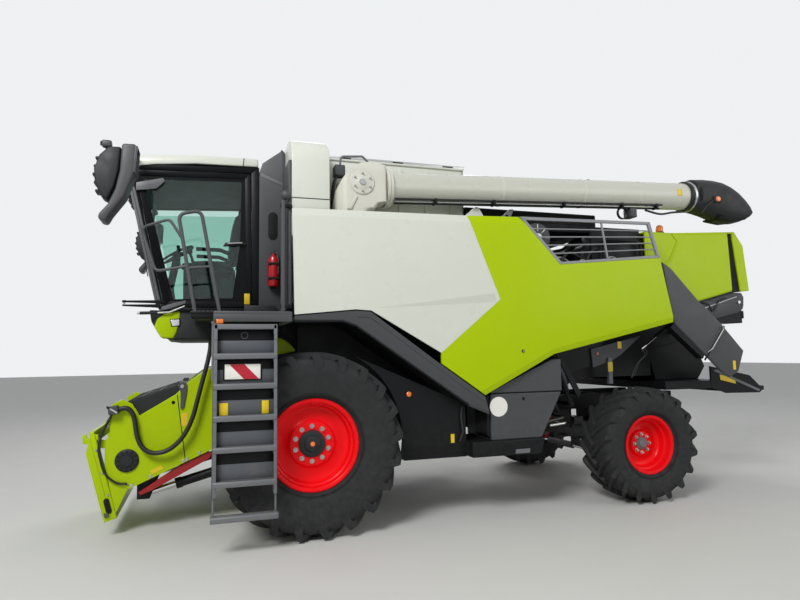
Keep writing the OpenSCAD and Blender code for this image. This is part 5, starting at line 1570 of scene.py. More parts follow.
def make_cab_interior():
    sx = -900
    seat = [
        ("seat_cushion", cushion((sx - 255, sx + 190), (-240, 240), (2690, 2786), 16), None),
        ("seat_backrest", cushion((-300, 260), (-235, 235), (0, 92), 14), (sx + 292, 3080)),
        ("seat_headrest", cushion((-78, 78), (-135, 135), (0, 70), 8, (7, 7, 3)), (sx + 322, 3300)),
    ]
    for name, bm, lean in seat:
        if lean:
            turn = spin("Y", -90 + 8)
            moved(bm, lean[0], 0, lean[1], turn)
        obj = piece(name, [(bm, "cloth")], "machine", ["cab_seat"] if name == "seat_cushion" else (),
            60)
        puff(obj)
    base = [
        (block((sx - 250, sx + 200), (-235, 235), (2655, 2692), 14, 3), "trim"),
        (block((sx - 180, sx + 180), (-180, 180), (2240.3, 2660), 30, 3), "trim"),
    ]
    shell = block((-320, 300), (-245, 245), (-16, 6), 10, 3)
    base.append((moved(shell, sx + 294, 0, 3080, spin("Y", -82)), "plastic"))
    base += both([(tube([(sx + 150, -255, 2720), (sx + 210, -262, 2860), (sx + 60, -262, 2920),
        (sx - 200, -262, 2925)], 44, 60, 14), "trim")])
    for k in range(3):
        base.append((tube([(sx - 210, -200 + k * 200, 2790), (sx + 150, -200 + k * 200, 2796)], 5, 0, 6),
            "void"))
    # Right console with its lever and display, steering column and wheel
    base += [
        (block((sx - 350, sx + 250), (300, 480), (2240.3, 2790), 34, 4), "trim"),
        (plate([(sx - 380, 2780), (sx - 360, 2850), (sx + 180, 2870), (sx + 240, 2790)], (310, 470), 22, 3),
            "plastic"),
        (tube([(sx - 240, 390, 2850), (sx - 260, 390, 2930), (sx - 285, 390, 2990)], 34, 30, 14), "plastic"),
        (block((sx - 320, sx - 250), (360, 425), (2970, 3060), 24, 4), "plastic"),
        (block((sx - 430, sx - 392), (300, 620), (2850, 3060), 12, 3), "plastic"),
        (block((sx - 390, sx - 386), (320, 600), (2868, 3044), 1), "mirror"),
        (tube([(sx - 400, 440, 2800), (sx - 410, 450, 2860)], 40, 0, 12), "plastic"),
        (tube([(sx - 440, 0, 2240.3), (sx - 480, 0, 2500), (sx - 410, 0, 2860)], 84, 120, 20), "trim"),
    ]
    rim_ring = lathe([(186, 0), (192, -12), (204, -12), (210, 0), (204, 12), (192, 12)], 48, closed=True)
    spokes = ring(block((-9, 9), (-8, 8), (20, 196), 4), "plastic", 3)[0]
    boss = lathe([(0, -22), (48, -18), (58, 0), (50, 18), (0, 22)], 30)
    tilt = spin("Y", -30) @ spin("X", 90)
    for bm in (rim_ring, spokes, boss):
        base.append((moved(bm, sx - 412, 0, 2892, tilt), "plastic"))
    base += [
        (block((sx - 470, sx + 330), (-420, 300), (2240, 2246), 2), "void"),
        (block((-540, -500), (-780, -720), (2300, 3500), 12), "trim"),
        # Instructor's seat folded at the left rear, and the sun blind under the roof
        (block((sx + 60, sx + 330), (-600, -330), (2246, 2560), 24, 3), "trim"),
        (rod((-1600, -700, 3520), (-1600, 700, 3520), 60, 18), "trim"),
    ]
    piece("cab_controls_and_trim", base, "machine", ["cab_controls"])


# Platform, ladder and mirrors


def make_platform():
    parts = [
        (block((-925, -230), (-1700, -960), (2100, 2130), 6), "rail"),
        (block((-1120, -924), (-1700, -960), (2102, 2128), 5), "black"),
        (block((-925, -230), (-1700, -1660), (2035, 2104), 5), "rail"),
        (block((-925, -890), (-1664, -960), (2035, 2104), 5), "black"),
        (block((-265, -230), (-1664, -960), (2035, 2104), 5), "grey"),
        (block((-1116, -924), (-1694, -1670), (2072, 2104), 4), "black"),
        (block((-1085, -265), (-1658, -962), (2062, 2104), 3), "black"),
    ]
    # Raised anti-slip pattern of the deck
    rib = block((-13, 13), (-3, 3), (0, 4), 1)
    row = repeat(rib, "grey", 24, (35, 0, 0))
    parts.append(set_at(repeat(*row, 17, (0, 42, 0)), -1080, -1675, 2129.5))
    for x in (-850, -540):
        parts.append((block((x, x + 60), (-970, -870), (2035, 2130), 5), "black"))
    hoop = [(-1080, -1620, 2120), (-1235, -1600, 3010), (-1040, -1600, 3055), (-870, -1620, 2120)]
    parts.append((tube(hoop, 33, 70, 16, 7), "rail"))

    def between(a, b, f):
        """The point at a share f of the way from a to b."""
        return tuple(Vector(a).lerp(Vector(b), f))

    loop = [between(hoop[0], hoop[1], 0.47), (-1420, -1560, 2490), (-1550, -1510, 2890), (-1310, -1560, 2970),
        between(hoop[0], hoop[1], 0.74)]
    parts += [
        (tube(loop, 26, 60, 14, 6), "rail"),
        (tube([between(hoop[0], hoop[1], 0.45), between(hoop[3], hoop[2], 0.45)], 24, 0, 14), "rail"),
        (block((-900, -840), (-1716, -1698), (2018, 2058), 5), "orange"),
        (rod((-905, -1665, 1500), (-905, -1665, 2040), 40, 20), "zinc"),
        (block((-940, -870), (-1690, -1640), (2015, 2040), 4), "grey"),
        # Mat before the door
        (block((-1060, -640), (-1300, -985), (2129, 2137), 3), "void"),
        (block((-620, -300), (-1012, -972), (2128, 2240), 8), "plastic"),
    ]
    # Lime cheek sheet beside the feeder's pivot
    cheek = [
        (-520, 1700), (-520, 1925), (-280, 1922), (-200, 1900), (-140, 1860), (-72, 1784), (-90, 1768),
        (-180, 1750), (-300, 1730), (-300, 1700),
    ]
    parts += both([
        (plate(cheek, (-776, -767), 3), "lime"),
        (block((-520, -40), (-768, -755.3), (1760, 2092), 3), "void"),
    ])
    piece("platform_and_rails", parts, "machine", ["platform"])


def make_ladder():
    parts = []
    for x, wide in ((-925, 36), (-402, 32)):
        web = x if x < -600 else x + wide - 6
        parts.append((block((web, web + 6), (-1780, -1690), (520, 2010), 2), "grey"))
        for yy in (-1780, -1696):
            parts.append((block((x, x + wide), (yy, yy + 6), (520, 2010), 2), "grey"))
        for z in (620, 1000, 1280, 1570, 1880):
            parts.append((moved(lathe([(0, -5), (8, -5), (10, 0), (0, 0)], 12), x + wide / 2, -1780, z),
                "grey"))
    heights = [632, 924, 1193, 1470, 1734, 1985]
    nose = [
        (-1784, -32), (-1787, -24), (-1787, 6), (-1780, 18), (-1694, 18), (-1692, -30), (-1700, -30),
        (-1704, 6), (-1770, 4), (-1776, -30),
    ]
    for z, above in zip(heights, heights[1:]):
        parts.append((cross([(y, z + h) for y, h in nose], (-920, -375), 2), "grey"))
        for x, y in ((-895, -1774), (-881, -1754)):
            parts.append(set_at(repeat(block((-9, 9), (-4, 4), (0, 5), 1.5), "shell", 18, (29, 0, 0)),
                x, y, z + 17))
        # Bent riser sheet, with a black sheet set back over it: painted shade that the tread above casts on the
        # riser's upper part
        mid, top = z + 18 + 0.56 * (above - z - 48), above - 30
        riser = [(-1706, z + 14), (-1712, z + 70), (-1706, mid), (-1700, mid), (-1704, z + 70), (-1698, z + 14)]
        parts += [
            (cross(riser, (-918, -377), 1), "riser"),
            (cross([(-1700, mid - 6), (-1694, top), (-1689, top), (-1694, mid - 6)], (-918, -377), 1), "black"),
        ]
    parts += [
        (block((-920, -375), (-1780, -1690), (1965, 2010), 6), "grey"),
        (moved(lathe([(25, -3), (32, -4), (32, 2), (25, 2)], 32, closed=True), -655, -1700, 1912), "shell"),
    ]
    sleeve = lathe([(20.3, -245), (32, -245), (32, 245), (20.3, 245)], 28, closed=True)
    parts.append((moved(sleeve, -905, -1665, 1765, spin("X", 90)), "grey"))
    for x in (-920, -390):
        parts += [
            (block((x, x + 15), (-1750, -1736), (300, 540), 3), "grey"),
            (rod((x - 6, -1743, 345), (x + 21, -1743, 345), 22, 12), "zinc"),
        ]
    drop = [
        (-1784, -52), (-1787, -44), (-1787, -12), (-1780, 0), (-1694, 0), (-1692, -52), (-1700, -52),
        (-1704, -12), (-1770, -14), (-1776, -50),
    ]
    parts += [
        (cross([(y, z + 358) for y, z in drop], (-935, -360), 2), "grey"),
        set_at(repeat(block((-9, 9), (-4, 4), (0, 5), 1.5), "grey", 18, (30, 0, 0)), -905, -1770, 357),
        # Blank plates: the striped marker, two labels
        (block((-838, -502), (-1722, -1708), (1516, 1664), 4), "void"),
        (block((-824, -516), (-1726, -1718), (1524, 1656), 2), "blank"),
        (plate([(-786, 1655), (-656, 1655), (-530, 1525), (-660, 1525)], (-1727.5, -1724), 0), "red_film"),
        (block((-868, -792), (-1720, -1710), (1194, 1318), 2), "yellow"),
        (block((-502, -440), (-1720, -1710), (1214, 1330), 2), "yellow"),
    ]
    piece("ladder_with_treads", parts, "ladder", ["ladder"])


def make_mirrors():
    banana = [
        (-1694, 3566), (-1578, 3570), (-1596, 3310), (-1662, 3110), (-1772, 2950), (-1806, 2880), (-1862, 2892),
        (-1866, 2938), (-1792, 3032), (-1738, 3166), (-1706, 3330),
    ]
    back = [
        (-1700, 3545), (-1716, 3330), (-1752, 3186), (-1800, 3070), (-1848, 3092), (-1902, 3216), (-1912, 3340),
        (-1872, 3462), (-1800, 3540),
    ]
    parts = [
        (plate(banana, (-1775, -1545), 24, 4), "shell"),
        (plate(back, (-1745, -1575), 20, 3), "plastic"),
    ]
    for k in range(5):
        z = 3136 + k * 72
        x = -1922 + abs(k - 2.2) * 12
        parts.append((block((x - 4, x + 90), (-1725, -1595), (z, z + 26), 8, 2), "plastic"))
    parts.append((prism([(-1600, -1560, 3330), (-1600, -1760, 3330), (-1584, -1760, 3540),
        (-1584, -1560, 3540)], (5, 0, 0), 1), "mirror"))
    # Rim that stands round the glass
    for a, b in ((-1772, -1760), (-1560, -1548)):
        parts.append((plate([(-1606, 3318), (-1588, 3552), (-1568, 3552), (-1580, 3318)], (a, b), 4), "shell"))
    for z, x in ((3318, -1606), (3540, -1590)):
        parts.append((block((x, x + 24), (-1764, -1556), (z, z + 12), 4), "shell"))
    parts += [
        (tube([(-1700, -1570, 3480), (-1670, -1300, 3650), (-1668, -1100, 3700), (-1668, -940.5, 3706)],
            40, 90, 16), "black"),
        (tube([(-1800, -1640, 3500), (-1830, -1640, 3550), (-1822, -1640, 3590)], 24, 20, 12), "black"),
        (block((-1868, -1786), (-1675, -1605), (3556, 3618), 16, 3), "shell"),
        (rod((-1871, -1640, 3590), (-1879, -1640, 3590), 40, 18), "void"),
    ]
    piece("mirror_units", both(parts), "machine", ["mirrors"], 30)

    # Beacons on the deck and working lights under the roof's front
    lamps = []
    for y in (-1080, 1080):
        z = 3190.3
        lamps += [
            (moved(lathe([(0, 0), (46, 0), (54, 6), (54, 26), (44, 30), (0, 30)], 32),
                4500, y, z, spin("X", 90)), "plastic"),
            (moved(lathe([(0, 28), (42, 28), (46, 40), (46, 84), (38, 106), (20, 118), (0, 120)], 32),
                4500, y, z, spin("X", 90)), "orange"),
        ]
    for y in (-700, -420, 420, 700):
        lamps += [
            (block((-1872, -1800), (y - 90, y + 90), (3562, 3647), 14, 3), "plastic"),
            (block((-1882, -1868), (y - 78, y + 78), (3574, 3636), 6, 2), "clear_lens"),
        ]
    piece("beacons_and_work_lights", lamps, "machine", ["lamps"])


# Feeder house and its lift

FEEDER = [
    (-1880, 1110), (-1870, 1260), (-1770, 1320), (-1670, 1270), (-1610, 1150), (-1270, 1350), (-1150, 1470),
    (-970, 1600), (-520, 1670), (-350, 1680), (-170, 1600), (-90, 1420), (-170, 1240), (-350, 1160),
    (-480, 990), (-940, 790), (-1670, 470), (-1820, 530), (-1878, 575), (-1900, 650), (-1910, 700),
    (-1910, 930), (-1865, 970),
]


# A hydraulic coupler's steps along its axis: start, end, diameter, sides and finish
COUPLER = (
    (0, 0.3, 19, 14, "void"), (0.3, 0.48, 27, 6, "zinc"), (0.48, 0.9, 21, 16, "chrome"),
    (0.9, 1, 27, 6, "zinc"),
)


def sheet_between(points, y, t):
    """Sheet of thickness t under a line of points in X and Z."""
    lower = []
    for i, p in enumerate(points):
        d = (Vector(points[min(i + 1, len(points) - 1)]) - Vector(points[max(i - 1, 0)])).normalized()
        lower.append((p[0] + d.y * t, p[1] - d.x * t))
    return plate(list(points) + lower[::-1], y, 2)


def make_feeder():
    y = 700
    parts = both([(plate(FEEDER, (-y, -y + 20), 6), "lime")])
    parts += [
        (sheet_between([(-1900, 1090), (-1600, 1140), (-1270, 1340), (-970, 1590), (-520, 1660)],
            (-y + 5, y - 5), 20), "lime"),
        (sheet_between([(-1820, 555), (-1670, 502), (-940, 820), (-480, 1020)], (-y + 5, y - 5), 20), "lime"),
        (rod((-350, -y + 5, 1420), (-350, y - 5, 1420), 300, 40), "lime"),
        (rod((-350, -755, 1420), (-350, 755, 1420), 90, 28), "zinc"),
    ]
    # Mesh hatch on the top, with its hold-downs
    hatch = [(-1720, 1289), (-1262, 1434), (-1172, 1434), (-1275, 1330), (-1600, 1135), (-1650, 1230)]
    parts.append((plate(hatch, (-660, 660), 5), "plastic"))
    rib = plate([(-1716, 1288), (-1262, 1432), (-1262, 1440), (-1719, 1296)], (-652, -642), 2)
    parts.append(repeat(rib, "black", 24, (0, 56, 0)))
    rib = plate([(-1716, 1290), (-1648, 1228), (-1658, 1222), (-1724, 1288)], (-652, -642), 2)
    parts.append(repeat(rib, "black", 24, (0, 56, 0)))
    for f in (0.3, 0.65):
        x, zz = -1720 + 458 * f, 1289 + 145 * f
        parts.append((moved(block((-9, 9), (-655, 655), (-2, 7), 2),
            x, 0, zz, Matrix.Rotation(-math.atan2(145, 458), 4, "Y")), "black"))
    # Seams, drum cover, clamps along the lower edge, lever and labels of each side
    side = [
        (plate([(-1258, 1345), (-1250, 1348), (-1214, 1070), (-1166, 712), (-1174, 710), (-1222, 1070)],
            (-y - 2, -y + 2), 0), "void"),
        (moved(lathe([(0, -34), (54, -32), (60, -22), (96, -21), (108, -16), (112, 0), (0, 0)], 44),
            -1710, -y, 720), "plastic"),
        set_at(ring(block((-5, 5), (-25, -19), (66, 104), 2), "black", 12), -1710, -y, 720),
    ]
    for x, z in ((-1660, 474), (-1490, 549), (-1186, 682), (-1150, 698), (-1030, 750)):
        side.append((moved(block((-13, 13), (-13, 4), (-16, 20), 3),
            x, -y, z, Matrix.Rotation(-math.atan2(320, 730), 4, "Y")), "zinc"))
    side.append((plate([(-1800, 500), (-1680, 448), (-940, 768), (-480, 968), (-480, 990), (-944, 790),
        (-1674, 472), (-1796, 522)], (-y - 10, -y + 2), 3), "lime"))
    lever = [
        (-1250, 1448), (-1232, 1470), (-1180, 1470), (-1160, 1448), (-1160, 1380), (-1186, 1210), (-1212, 1196),
        (-1222, 1214), (-1222, 1370),
    ]
    side += [
        (plate(lever, (-y - 16, -y - 2), 5), "shell"),
        (moved(lathe([(0, -12), (18, -10), (22, 0), (0, 0)], 20), -1206, -y - 14, 1430), "zinc"),
        (moved(lathe([(0, -4), (16, -4), (18, 0), (0, 0)], 18), -1290, -y, 1270), "void"),
        (block((-1212, -1150), (-y - 2, -y + 1), (1030, 1160), 1), "yellow"),
        (plate([(-1490, 606), (-1480, 572), (-1372, 620), (-1388, 652)], (-y - 2, -y + 1), 1), "yellow"),
    ]
    for dy in (-65, 45):
        side.append((plate([(-1620, 520), (-1620, 320), (-1500, 320), (-1380, 630)],
            (-560 + dy, -560 + dy + 20), 5), "black"))
    parts += both(side)
    # Red lock bars of the lift cylinders, folded against the underside
    parts += both([(plate([(-1600, 400), (-1580, 372), (-1480, 410), (-930, 690), (-905, 745), (-950, 760),
        (-1250, 620)], (-686, -640), 5), "lock_red")])
    # Hydraulic coupler block with its silver couplers on the left
    turn = Matrix.Rotation(math.radians(-7.65), 4, "Y")
    parts.append((moved(block((-90, 0), (-795, -699), (-40, 40), 8, 3), -1790, 0, 1227, turn), "graphite"))
    for k in range(4):
        a, b = Vector((-96, -790 + k * 22, 44 - k * 8)), Vector((-10, -790 + k * 22, -30 - k * 6))
        for start, end, wide, sides, stuff in COUPLER:
            parts.append((moved(rod(a.lerp(b, start), a.lerp(b, end), wide, sides), -1790, 0, 1227, turn),
                stuff))
    parts += [
        (hose([(-1850, -730, 1180), (-1935, -735, 1000), (-1950, -735, 800), (-1900, -735, 620),
            (-1800, -728, 520), (-1700, -722, 500)], 22, 10, 5), "hose"),
        (hose([(-1860, -710, 1150), (-1950, -715, 960), (-1965, -715, 820), (-1930, -715, 700)], 16, 8, 5),
            "hose"),
        # Drum, chain slats and shaft inside the channel
        (rod((-1690, -675, 790), (-1690, 675, 790), 340, 36), "graphite"),
        set_at(ring(block((-12, 12), (-670, 670), (160, 192), 3), "zinc", 8), -1690, 0, 790),
    ]
    piece("feeder_house_sheets", parts, "feeder", ["feeder_house"], 20)

    # Front frame, leaning back, with its window, hooks, slots and locking bar
    def leaned(bm):
        return moved(bm, -1890, 0, 150, spin("Y", -15))

    parts = both([(leaned(plate([(0, 0), (110, 0), (110, 870), (80, 870), (0, 700)], (-710, -620), 8, 3)),
        "lime")])
    parts += [
        (leaned(block((0, 110), (-620, 620), (0, 220), 8, 3)), "lime"),
        (leaned(block((50, 110), (-620, 620), (760, 870), 8, 3)), "lime"),
    ]
    parts += both([(leaned(plate([(-8, 0), (60, 0), (60, 815), (-8, 684)], (-716, -704), 3)), "lime")])
    slot_hole = arc(58, 190, 26, 0, 180, 8) + arc(58, 90, 26, 180, 360, 8)
    parts += both([(leaned(plate(slot_hole, (-718, -708), 1)), "void")])
    for z in (240, 460, 690):
        parts += both([(leaned(moved(lathe([(0, -5), (9, -5), (12, 0), (0, 0)], 14), 84, -715, z)), "zinc")])
    hook = [
        (-2104, 900), (-2112, 985), (-2080, 995), (-2068, 950), (-2020, 948), (-2002, 990), (-1972, 985),
        (-1965, 900),
    ]
    parts += both([
        (plate(hook, (-y, -y + 24), 4), "lime"),
        (plate([(-1970, 860), (-1910.3, 850), (-1910.3, 930), (-1988, 940)], (-y, -y + 20), 3), "lime"),
        (plate([(-1800, 220), (-1690, 458), (-1820, 529), (-1885, 579)], (-y, -y + 20), 3), "lime"),
    ])
    parts.append((leaned(rod((30, -730, 60), (30, 730, 60), 40, 18)), "zinc"))
    parts += both([(leaned(block((10, 50), (-735, -716), (40, 85), 6)), "graphite")])
    piece("header_frame", parts, "feeder", ["feeder_front"])

    # Lift cylinders
    pin, eye = Vector((-250, 0, 700)), Vector((-1560, 0, 360))
    along = (eye - pin).normalized()
    barrels, rods = [], []
    for side in (-560, 560):
        off = Vector((0, side, 0))
        barrels += [
            (rod(pin + off + along * 30, pin + off + along * 1010, 96, 32), "black"),
            (rod(pin + off + along * 985, pin + off + along * 1040, 108, 32, bevel=4), "black"),
            (moved(lathe([(20.3, -40), (50, -40), (50, 40), (20.3, 40)], 32, closed=True), pin.x, side, pin.z),
                "black"),
        ]
        port = pin + off + along * 120
        barrels.append((rod(port + Vector((0, 0, -48)), port + Vector((0, 0, -80)), 36, 14), "zinc"))
        rods += [
            (rod(pin + off + along * 380, eye + off, 60, 28), "chrome"),
            (moved(lathe([(0, -38), (41, -38), (45, -34), (45, 34), (41, 38), (0, 38)], 32),
                eye.x, side, eye.z), "black"),
        ]
    piece("lift_barrels_painted", barrels, "lift_barrels", ["lift_barrels"])
    piece("lift_rods_chromed", rods, "lift_rods", ["lift_rods"])


# Unloading tube

TUBE_AXIS = (450, -1230)
RISE = math.radians(2.4)
# The spout's sections are superellipses of this many sides and this power
SPOUT_SIDES = 40
SPOUT_POWER = 2 / 2.6
ELBOW_BACK = [(3130, 242), (3260, 242), (3400, 264), (3525, 325), (3640, 412), (3700, 520), (3722, 640)]
ELBOW_FRONT = [(3130, 658), (3225, 662), (3282, 705), (3300, 790), (3690, 790), (3712, 720), (3722, 660)]
ELBOW_LEVELS = [
    3130, 3184, 3192, 3210, 3225, 3240, 3260, 3275, 3282, 3291, 3300, 3330, 3365, 3400, 3440, 3480, 3525, 3560,
    3600, 3640, 3662, 3680, 3692, 3702, 3710, 3716, 3720, 3722,
]


def at_level(line, z):
    """The x of a line of (z, x) points at height z."""
    for (za, xa), (zb, xb) in zip(line, line[1:]):
        if z <= zb:
            return xa + (xb - xa) * (z - za) / (zb - za)
    return line[-1][1]


def elbow_ring(z):
    """Level section of the elbow: inside the turret's circle behind the axis, straight sides before it."""
    back, front = at_level(ELBOW_BACK, z), at_level(ELBOW_FRONT, z)
    high = max(0, (z - 3600) / 122)
    limit = 188 - 46 * high ** 2
    straight = min(max((z - 3192) / 40, 0), 1)
    points = []
    for i in range(29):
        x = back + (front - back) * (1 - math.cos(math.pi * i / 28)) / 2
        half = math.sqrt(max(210 ** 2 - (x - TUBE_AXIS[0]) ** 2, 16))
        if x > TUBE_AXIS[0]:
            half = half * (1 - straight) + 210 * straight
        corner = min(40, (front - back) / 2)
        if x > front - corner:
            half = min(half, limit - corner + math.sqrt(max(corner ** 2 - (x - front + corner) ** 2, 0)))
        points.append((x, min(half, limit)))
    return [(x, -half, z) for x, half in points] + [(x, half, z) for x, half in reversed(points)]


def make_unloader():
    ax, ay = TUBE_AXIS
    # Fabricated elbow with a rounded back that turns inside the turret's circle
    parts = [
        (moved(skin([elbow_ring(level) for level in ELBOW_LEVELS]), 0, ay, 0), "ivory"),
        (moved(lathe([(0, 0), (210, 0), (220, 8), (220, 44), (0, 44)], 56), ax, ay, 3120.3, spin("X", 90)),
            "ivory"),
        # Pressed round boss with its cap and bolts
        (moved(lathe([(0, -22), (58, -22), (66, -16), (120, -14), (132, 0), (0, 0)], 44), 520, ay - 190, 3480),
            "ivory"),
        (moved(lathe([(0, -34), (30, -32), (36, -20)], 28), 520, ay - 190, 3480), "zinc"),
        set_at(ring(bolt(92, -14, 16, 3), "zinc", 6), 520, ay - 190, 3480),
        # Stay and hydraulic block on the back, with its hoses
        (plate([(356, 3194), (404, 3194), (470, 3330), (446, 3345)], (ay - 204, ay - 184), 5), "ivory"),
        (block((262, 372), (ay - 70, ay + 70), (3575, 3690), 14, 3), "graphite"),
        (tube([(320, ay - 40, 3680), (330, ay - 50, 3780), (560, ay - 50, 3800), (650, ay - 40, 3716)],
            24, 40, 12), "grey"),
    ]
    parts += [(hose([(292, ay + k * 34, 3590), (258, ay + k * 34, 3480), (246, ay + k * 30, 3330),
        (252, ay + k * 24, 3170)], 22, 10, 5), "hose") for k in (-1, 0, 1)]

    def along(bm):
        return moved(bm, 830, ay, 3490, Matrix.Rotation(-RISE, 4, "Y"))

    def turned(profile, sides=64):
        """Profile of (radius, distance along the tube)."""
        return along(moved(lathe(profile, sides), 0, 0, 0, spin("Z", -90)))

    parts.append((turned([(0, -34), (208, -34), (208, -30.3), (208, -4), (0, -4)]), "ivory"))
    piece("unloader_elbow", parts, "unloader", ["turret"], 40)

    parts = [(turned([(0, 0), (208, 0), (208, 26), (178, 30), (167.5, 44), (167.5, 3948), (0, 3948)], 72),
        "ivory")]
    for x in (1315, 2380, 3200):
        parts.append((turned([(166, x), (170.5, x + 2), (170.5, x + 26), (166, x + 28)]), "ivory"))
    flange = ring(bolt(190, 0, 19, 5), "zinc", 16)[0]
    for at, flip in ((30, 1), (-32, -1)):
        copy = flange.copy()
        turn = Matrix.Rotation(math.radians(90 if flip < 0 else -90), 4, "Z")
        parts.append((along(moved(copy, at, 0, 0, turn)), "zinc"))
    flange.free()
    # Hydraulic lines under the tube, with their clips
    for k in range(3):
        y, low = ((-112, -140), (-84, -160), (-54, -174))[k]
        parts.append((along(tube([(60, y, low), (3500, y, low)], 20, 0, 10)), "zinc" if k == 1 else "hose"))
    for x in (500, 1200, 2100, 2900, 3400):
        parts.append((along(block((x, x + 30), (-128, -36), (-190, -128), 5)), "black"))
    parts += [
        (along(hose([(3300, -40, -190), (3500, -60, -240), (3700, -50, -215), (3900, -40, -200)], 26, 10, 6)),
            "hose"),
        (along(block((3050, 3140), (-90, 60), (-290, -170), 14, 3)), "graphite"),
        (along(moved(lathe([(60, -16), (74, -12), (74, 12), (60, 16)], 28, closed=True), 2960, -40, -235)),
            "plastic"),
        (along(block((3700, 3770), (-171, -163), (-30, 50), 2)), "yellow"),
        (along(moved(lathe([(0, -14), (16, -10), (20, 0), (0, 0)], 16), 2540, 0, 168, spin("X", -90))),
            "plastic"),
    ]
    piece("unloading_tube_sheet", parts, "unloader", ["unloading_tube"], 40)

    # Spout: a bent rubber-black beak that opens downwards
    top = [
        (4830, 3868), (5000, 3882), (5160, 3884), (5310, 3868), (5440, 3826), (5560, 3758), (5660, 3672),
        (5730, 3590), (5765, 3512),
    ]
    low = [
        (4830, 3470), (4960, 3448), (5080, 3420), (5200, 3382), (5300, 3356), (5420, 3344), (5520, 3348),
        (5600, 3368), (5650, 3392),
    ]
    rings = []
    for k, (a, b) in enumerate(zip(top, low)):
        a, b = Vector(a), Vector(b)
        centre, half_h = (a + b) / 2, (a - b).length / 2
        half_w = 184 - 34 * max(0, (k - 3) / 5) ** 1.5
        d = (a - b).normalized()
        points = []
        for i in range(SPOUT_SIDES):
            angle = 2 * math.pi * i / SPOUT_SIDES
            c, s = math.cos(angle), math.sin(angle)
            across = math.copysign(abs(c) ** SPOUT_POWER, c) * half_w
            up = math.copysign(abs(s) ** SPOUT_POWER, s) * half_h
            points.append((centre.x + d.x * up, ay + across, centre.y + d.y * up))
        rings.append(points)
    parts = [
        (skin(rings), "plastic"),
        (turned([(166, 3905), (186, 3905), (190, 3912), (190, 3940), (182, 3950), (182, 4060), (166, 4060)],
            56), "plastic"),
        (turned([(184, 3960), (193, 3964), (193, 3990), (184, 3994)], 56), "zinc"),
        (turned([(186, 4030), (196, 4034), (196, 4070), (186, 4074)], 56), "void"),
        (plate([(5180, 3400), (5200, 3378), (5420, 3352), (5600, 3376), (5640, 3400), (5580, 3420),
            (5300, 3400)], (ay - 140, ay + 140), 6), "void"),
        (block((5060, 5170), (ay - 210, ay - 170), (3560, 3640), 10, 3), "plastic"),
        (moved(lathe([(0, -20), (26, -18), (34, -6), (36, 0), (0, 0)], 24), 5110, ay - 206, 3600), "orange"),
        (hose([(4900, ay - 150, 3420), (4960, ay - 195, 3520), (5060, ay - 205, 3590)], 14, 8, 5), "hose"),
    ]
    piece("unloader_spout", parts, "unloader", ["spout"], 50)


# Operators, panel and registration


def settings(context):
    return context.scene.harvester_colours, context.scene.harvester_sizes


class HARVESTER_OT_finishes(bpy.types.Operator):
    """Make the enamels, powder coats, plastics, rubbers, glass and films"""

    bl_idname = "harvester.finishes"
    bl_label = "Finishes"

    def execute(self, context):
        FINISH.update(finishes(settings(context)[0]))
        return {"FINISHED"}


class HARVESTER_OT_stage(bpy.types.Operator):
    """Place the camera, the floor, the sky and the lamps"""

    bl_idname = "harvester.stage"
    bl_label = "Camera and stage"

    def execute(self, context):
        make_stage(settings(context)[1])
        return {"FINISHED"}


class HARVESTER_OT_hose(bpy.types.Operator):
    """Hang the hydraulic hose between the cab and the feeder house"""

    bl_idname = "harvester.hose"
    bl_label = "Hydraulic hose"

    def execute(self, context):
        make_hose()
        return {"FINISHED"}


class HARVESTER_OT_wheels(bpy.types.Operator):
    """Dress the wheels with lugged tyres and stepped rims, and finish the axles"""

    bl_idname = "harvester.wheels"
    bl_label = "Wheels and axles"

    def execute(self, context):
        make_tyres(settings(context)[1])
        make_rims()
        make_running_gear()
        return {"FINISHED"}


class HARVESTER_OT_tank(bpy.types.Operator):
    """Build the grain tank's sheets, its lids and the wall before it"""

    bl_idname = "harvester.tank"
    bl_label = "Grain tank"

    def execute(self, context):
        make_tank()
        return {"FINISHED"}


class HARVESTER_OT_panels(bpy.types.Operator):
    """Build the folded side panels with their louvres"""

    bl_idname = "harvester.panels"
    bl_label = "Side panels"

    def execute(self, context):
        make_side_panels()
        return {"FINISHED"}


class HARVESTER_OT_skirts(bpy.types.Operator):
    """Build the skirts, the inner covers, the lockers and the struts behind them"""

    bl_idname = "harvester.skirts"
    bl_label = "Skirts and lockers"

    def execute(self, context):
        make_skirts()
        make_lockers()
        return {"FINISHED"}


class HARVESTER_OT_engine(bpy.types.Operator):
    """Build the engine and what stands around it on the deck"""

    bl_idname = "harvester.engine"
    bl_label = "Engine deck"

    def execute(self, context):
        make_engine()
        return {"FINISHED"}


class HARVESTER_OT_rear(bpy.types.Operator):
    """Build the straw hood, the rear covers, the chopper and the spreader"""

    bl_idname = "harvester.rear"
    bl_label = "Rear hood and spreader"

    def execute(self, context):
        make_rear()
        return {"FINISHED"}


class HARVESTER_OT_cab(bpy.types.Operator):
    """Build the cab's shell, its door and its interior"""

    bl_idname = "harvester.cab"
    bl_label = "Cab"

    def execute(self, context):
        make_cab_shell()
        make_cab_interior()
        return {"FINISHED"}


class HARVESTER_OT_access(bpy.types.Operator):
    """Build the platform, the hand rails and the ladder"""

    bl_idname = "harvester.access"
    bl_label = "Platform and ladder"

    def execute(self, context):
        make_platform()
        make_ladder()
        return {"FINISHED"}


class HARVESTER_OT_mirrors(bpy.types.Operator):
    """Build the mirrors, the beacons and the working lights"""

    bl_idname = "harvester.mirrors"
    bl_label = "Mirrors and lamps"

    def execute(self, context):
        make_mirrors()
        return {"FINISHED"}


class HARVESTER_OT_feeder(bpy.types.Operator):
    """Build the feeder house, its front frame and its lift cylinders"""

    bl_idname = "harvester.feeder"
    bl_label = "Feeder house"

    def execute(self, context):
        make_feeder()
        return {"FINISHED"}


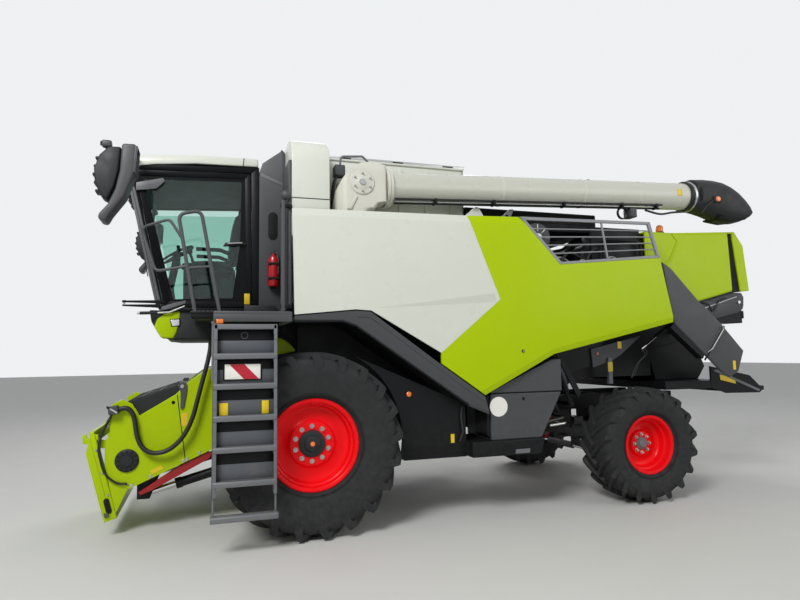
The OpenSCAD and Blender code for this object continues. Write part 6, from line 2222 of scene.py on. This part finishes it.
class HARVESTER_OT_unloader(bpy.types.Operator):
    """Build the elbow, the unloading tube and its spout"""

    bl_idname = "harvester.unloader"
    bl_label = "Unloading tube"

    def execute(self, context):
        make_unloader()
        return {"FINISHED"}


OPERATORS = (
    HARVESTER_OT_finishes, HARVESTER_OT_stage, HARVESTER_OT_hose, HARVESTER_OT_wheels, HARVESTER_OT_tank,
    HARVESTER_OT_panels, HARVESTER_OT_skirts, HARVESTER_OT_engine, HARVESTER_OT_rear, HARVESTER_OT_cab,
    HARVESTER_OT_access, HARVESTER_OT_mirrors, HARVESTER_OT_feeder, HARVESTER_OT_unloader,
)


class HARVESTER_PT_panel(bpy.types.Panel):
    """Sizes, colours and the pieces of the harvester"""

    bl_idname = "HARVESTER_PT_panel"
    bl_label = "Combine harvester"
    bl_space_type = "VIEW_3D"
    bl_region_type = "UI"
    bl_category = "Harvester"

    def draw(self, context):
        colours, sizes = settings(context)
        for group in (colours, sizes):
            column = self.layout.column()
            for name in group.__annotations__:
                column.prop(group, name)
        for operator in OPERATORS:
            self.layout.operator(operator.bl_idname)


CLASSES = (HarvesterColours, HarvesterSizes, *OPERATORS, HARVESTER_PT_panel)


def register():
    for cls in CLASSES:
        bpy.utils.register_class(cls)
    bpy.types.Scene.harvester_colours = bpy.props.PointerProperty(type=HarvesterColours)
    bpy.types.Scene.harvester_sizes = bpy.props.PointerProperty(type=HarvesterSizes)


def unregister():
    del bpy.types.Scene.harvester_sizes
    del bpy.types.Scene.harvester_colours
    for cls in reversed(CLASSES):
        bpy.utils.unregister_class(cls)


def main():
    register()
    bpy.ops.harvester.finishes()
    bpy.ops.harvester.stage()
    bpy.ops.harvester.hose()
    bpy.ops.harvester.wheels()
    bpy.ops.harvester.tank()
    bpy.ops.harvester.panels()
    bpy.ops.harvester.skirts()
    bpy.ops.harvester.engine()
    bpy.ops.harvester.rear()
    bpy.ops.harvester.cab()
    bpy.ops.harvester.access()
    bpy.ops.harvester.mirrors()
    bpy.ops.harvester.feeder()
    bpy.ops.harvester.unloader()


if __name__ == "__main__":
    main()
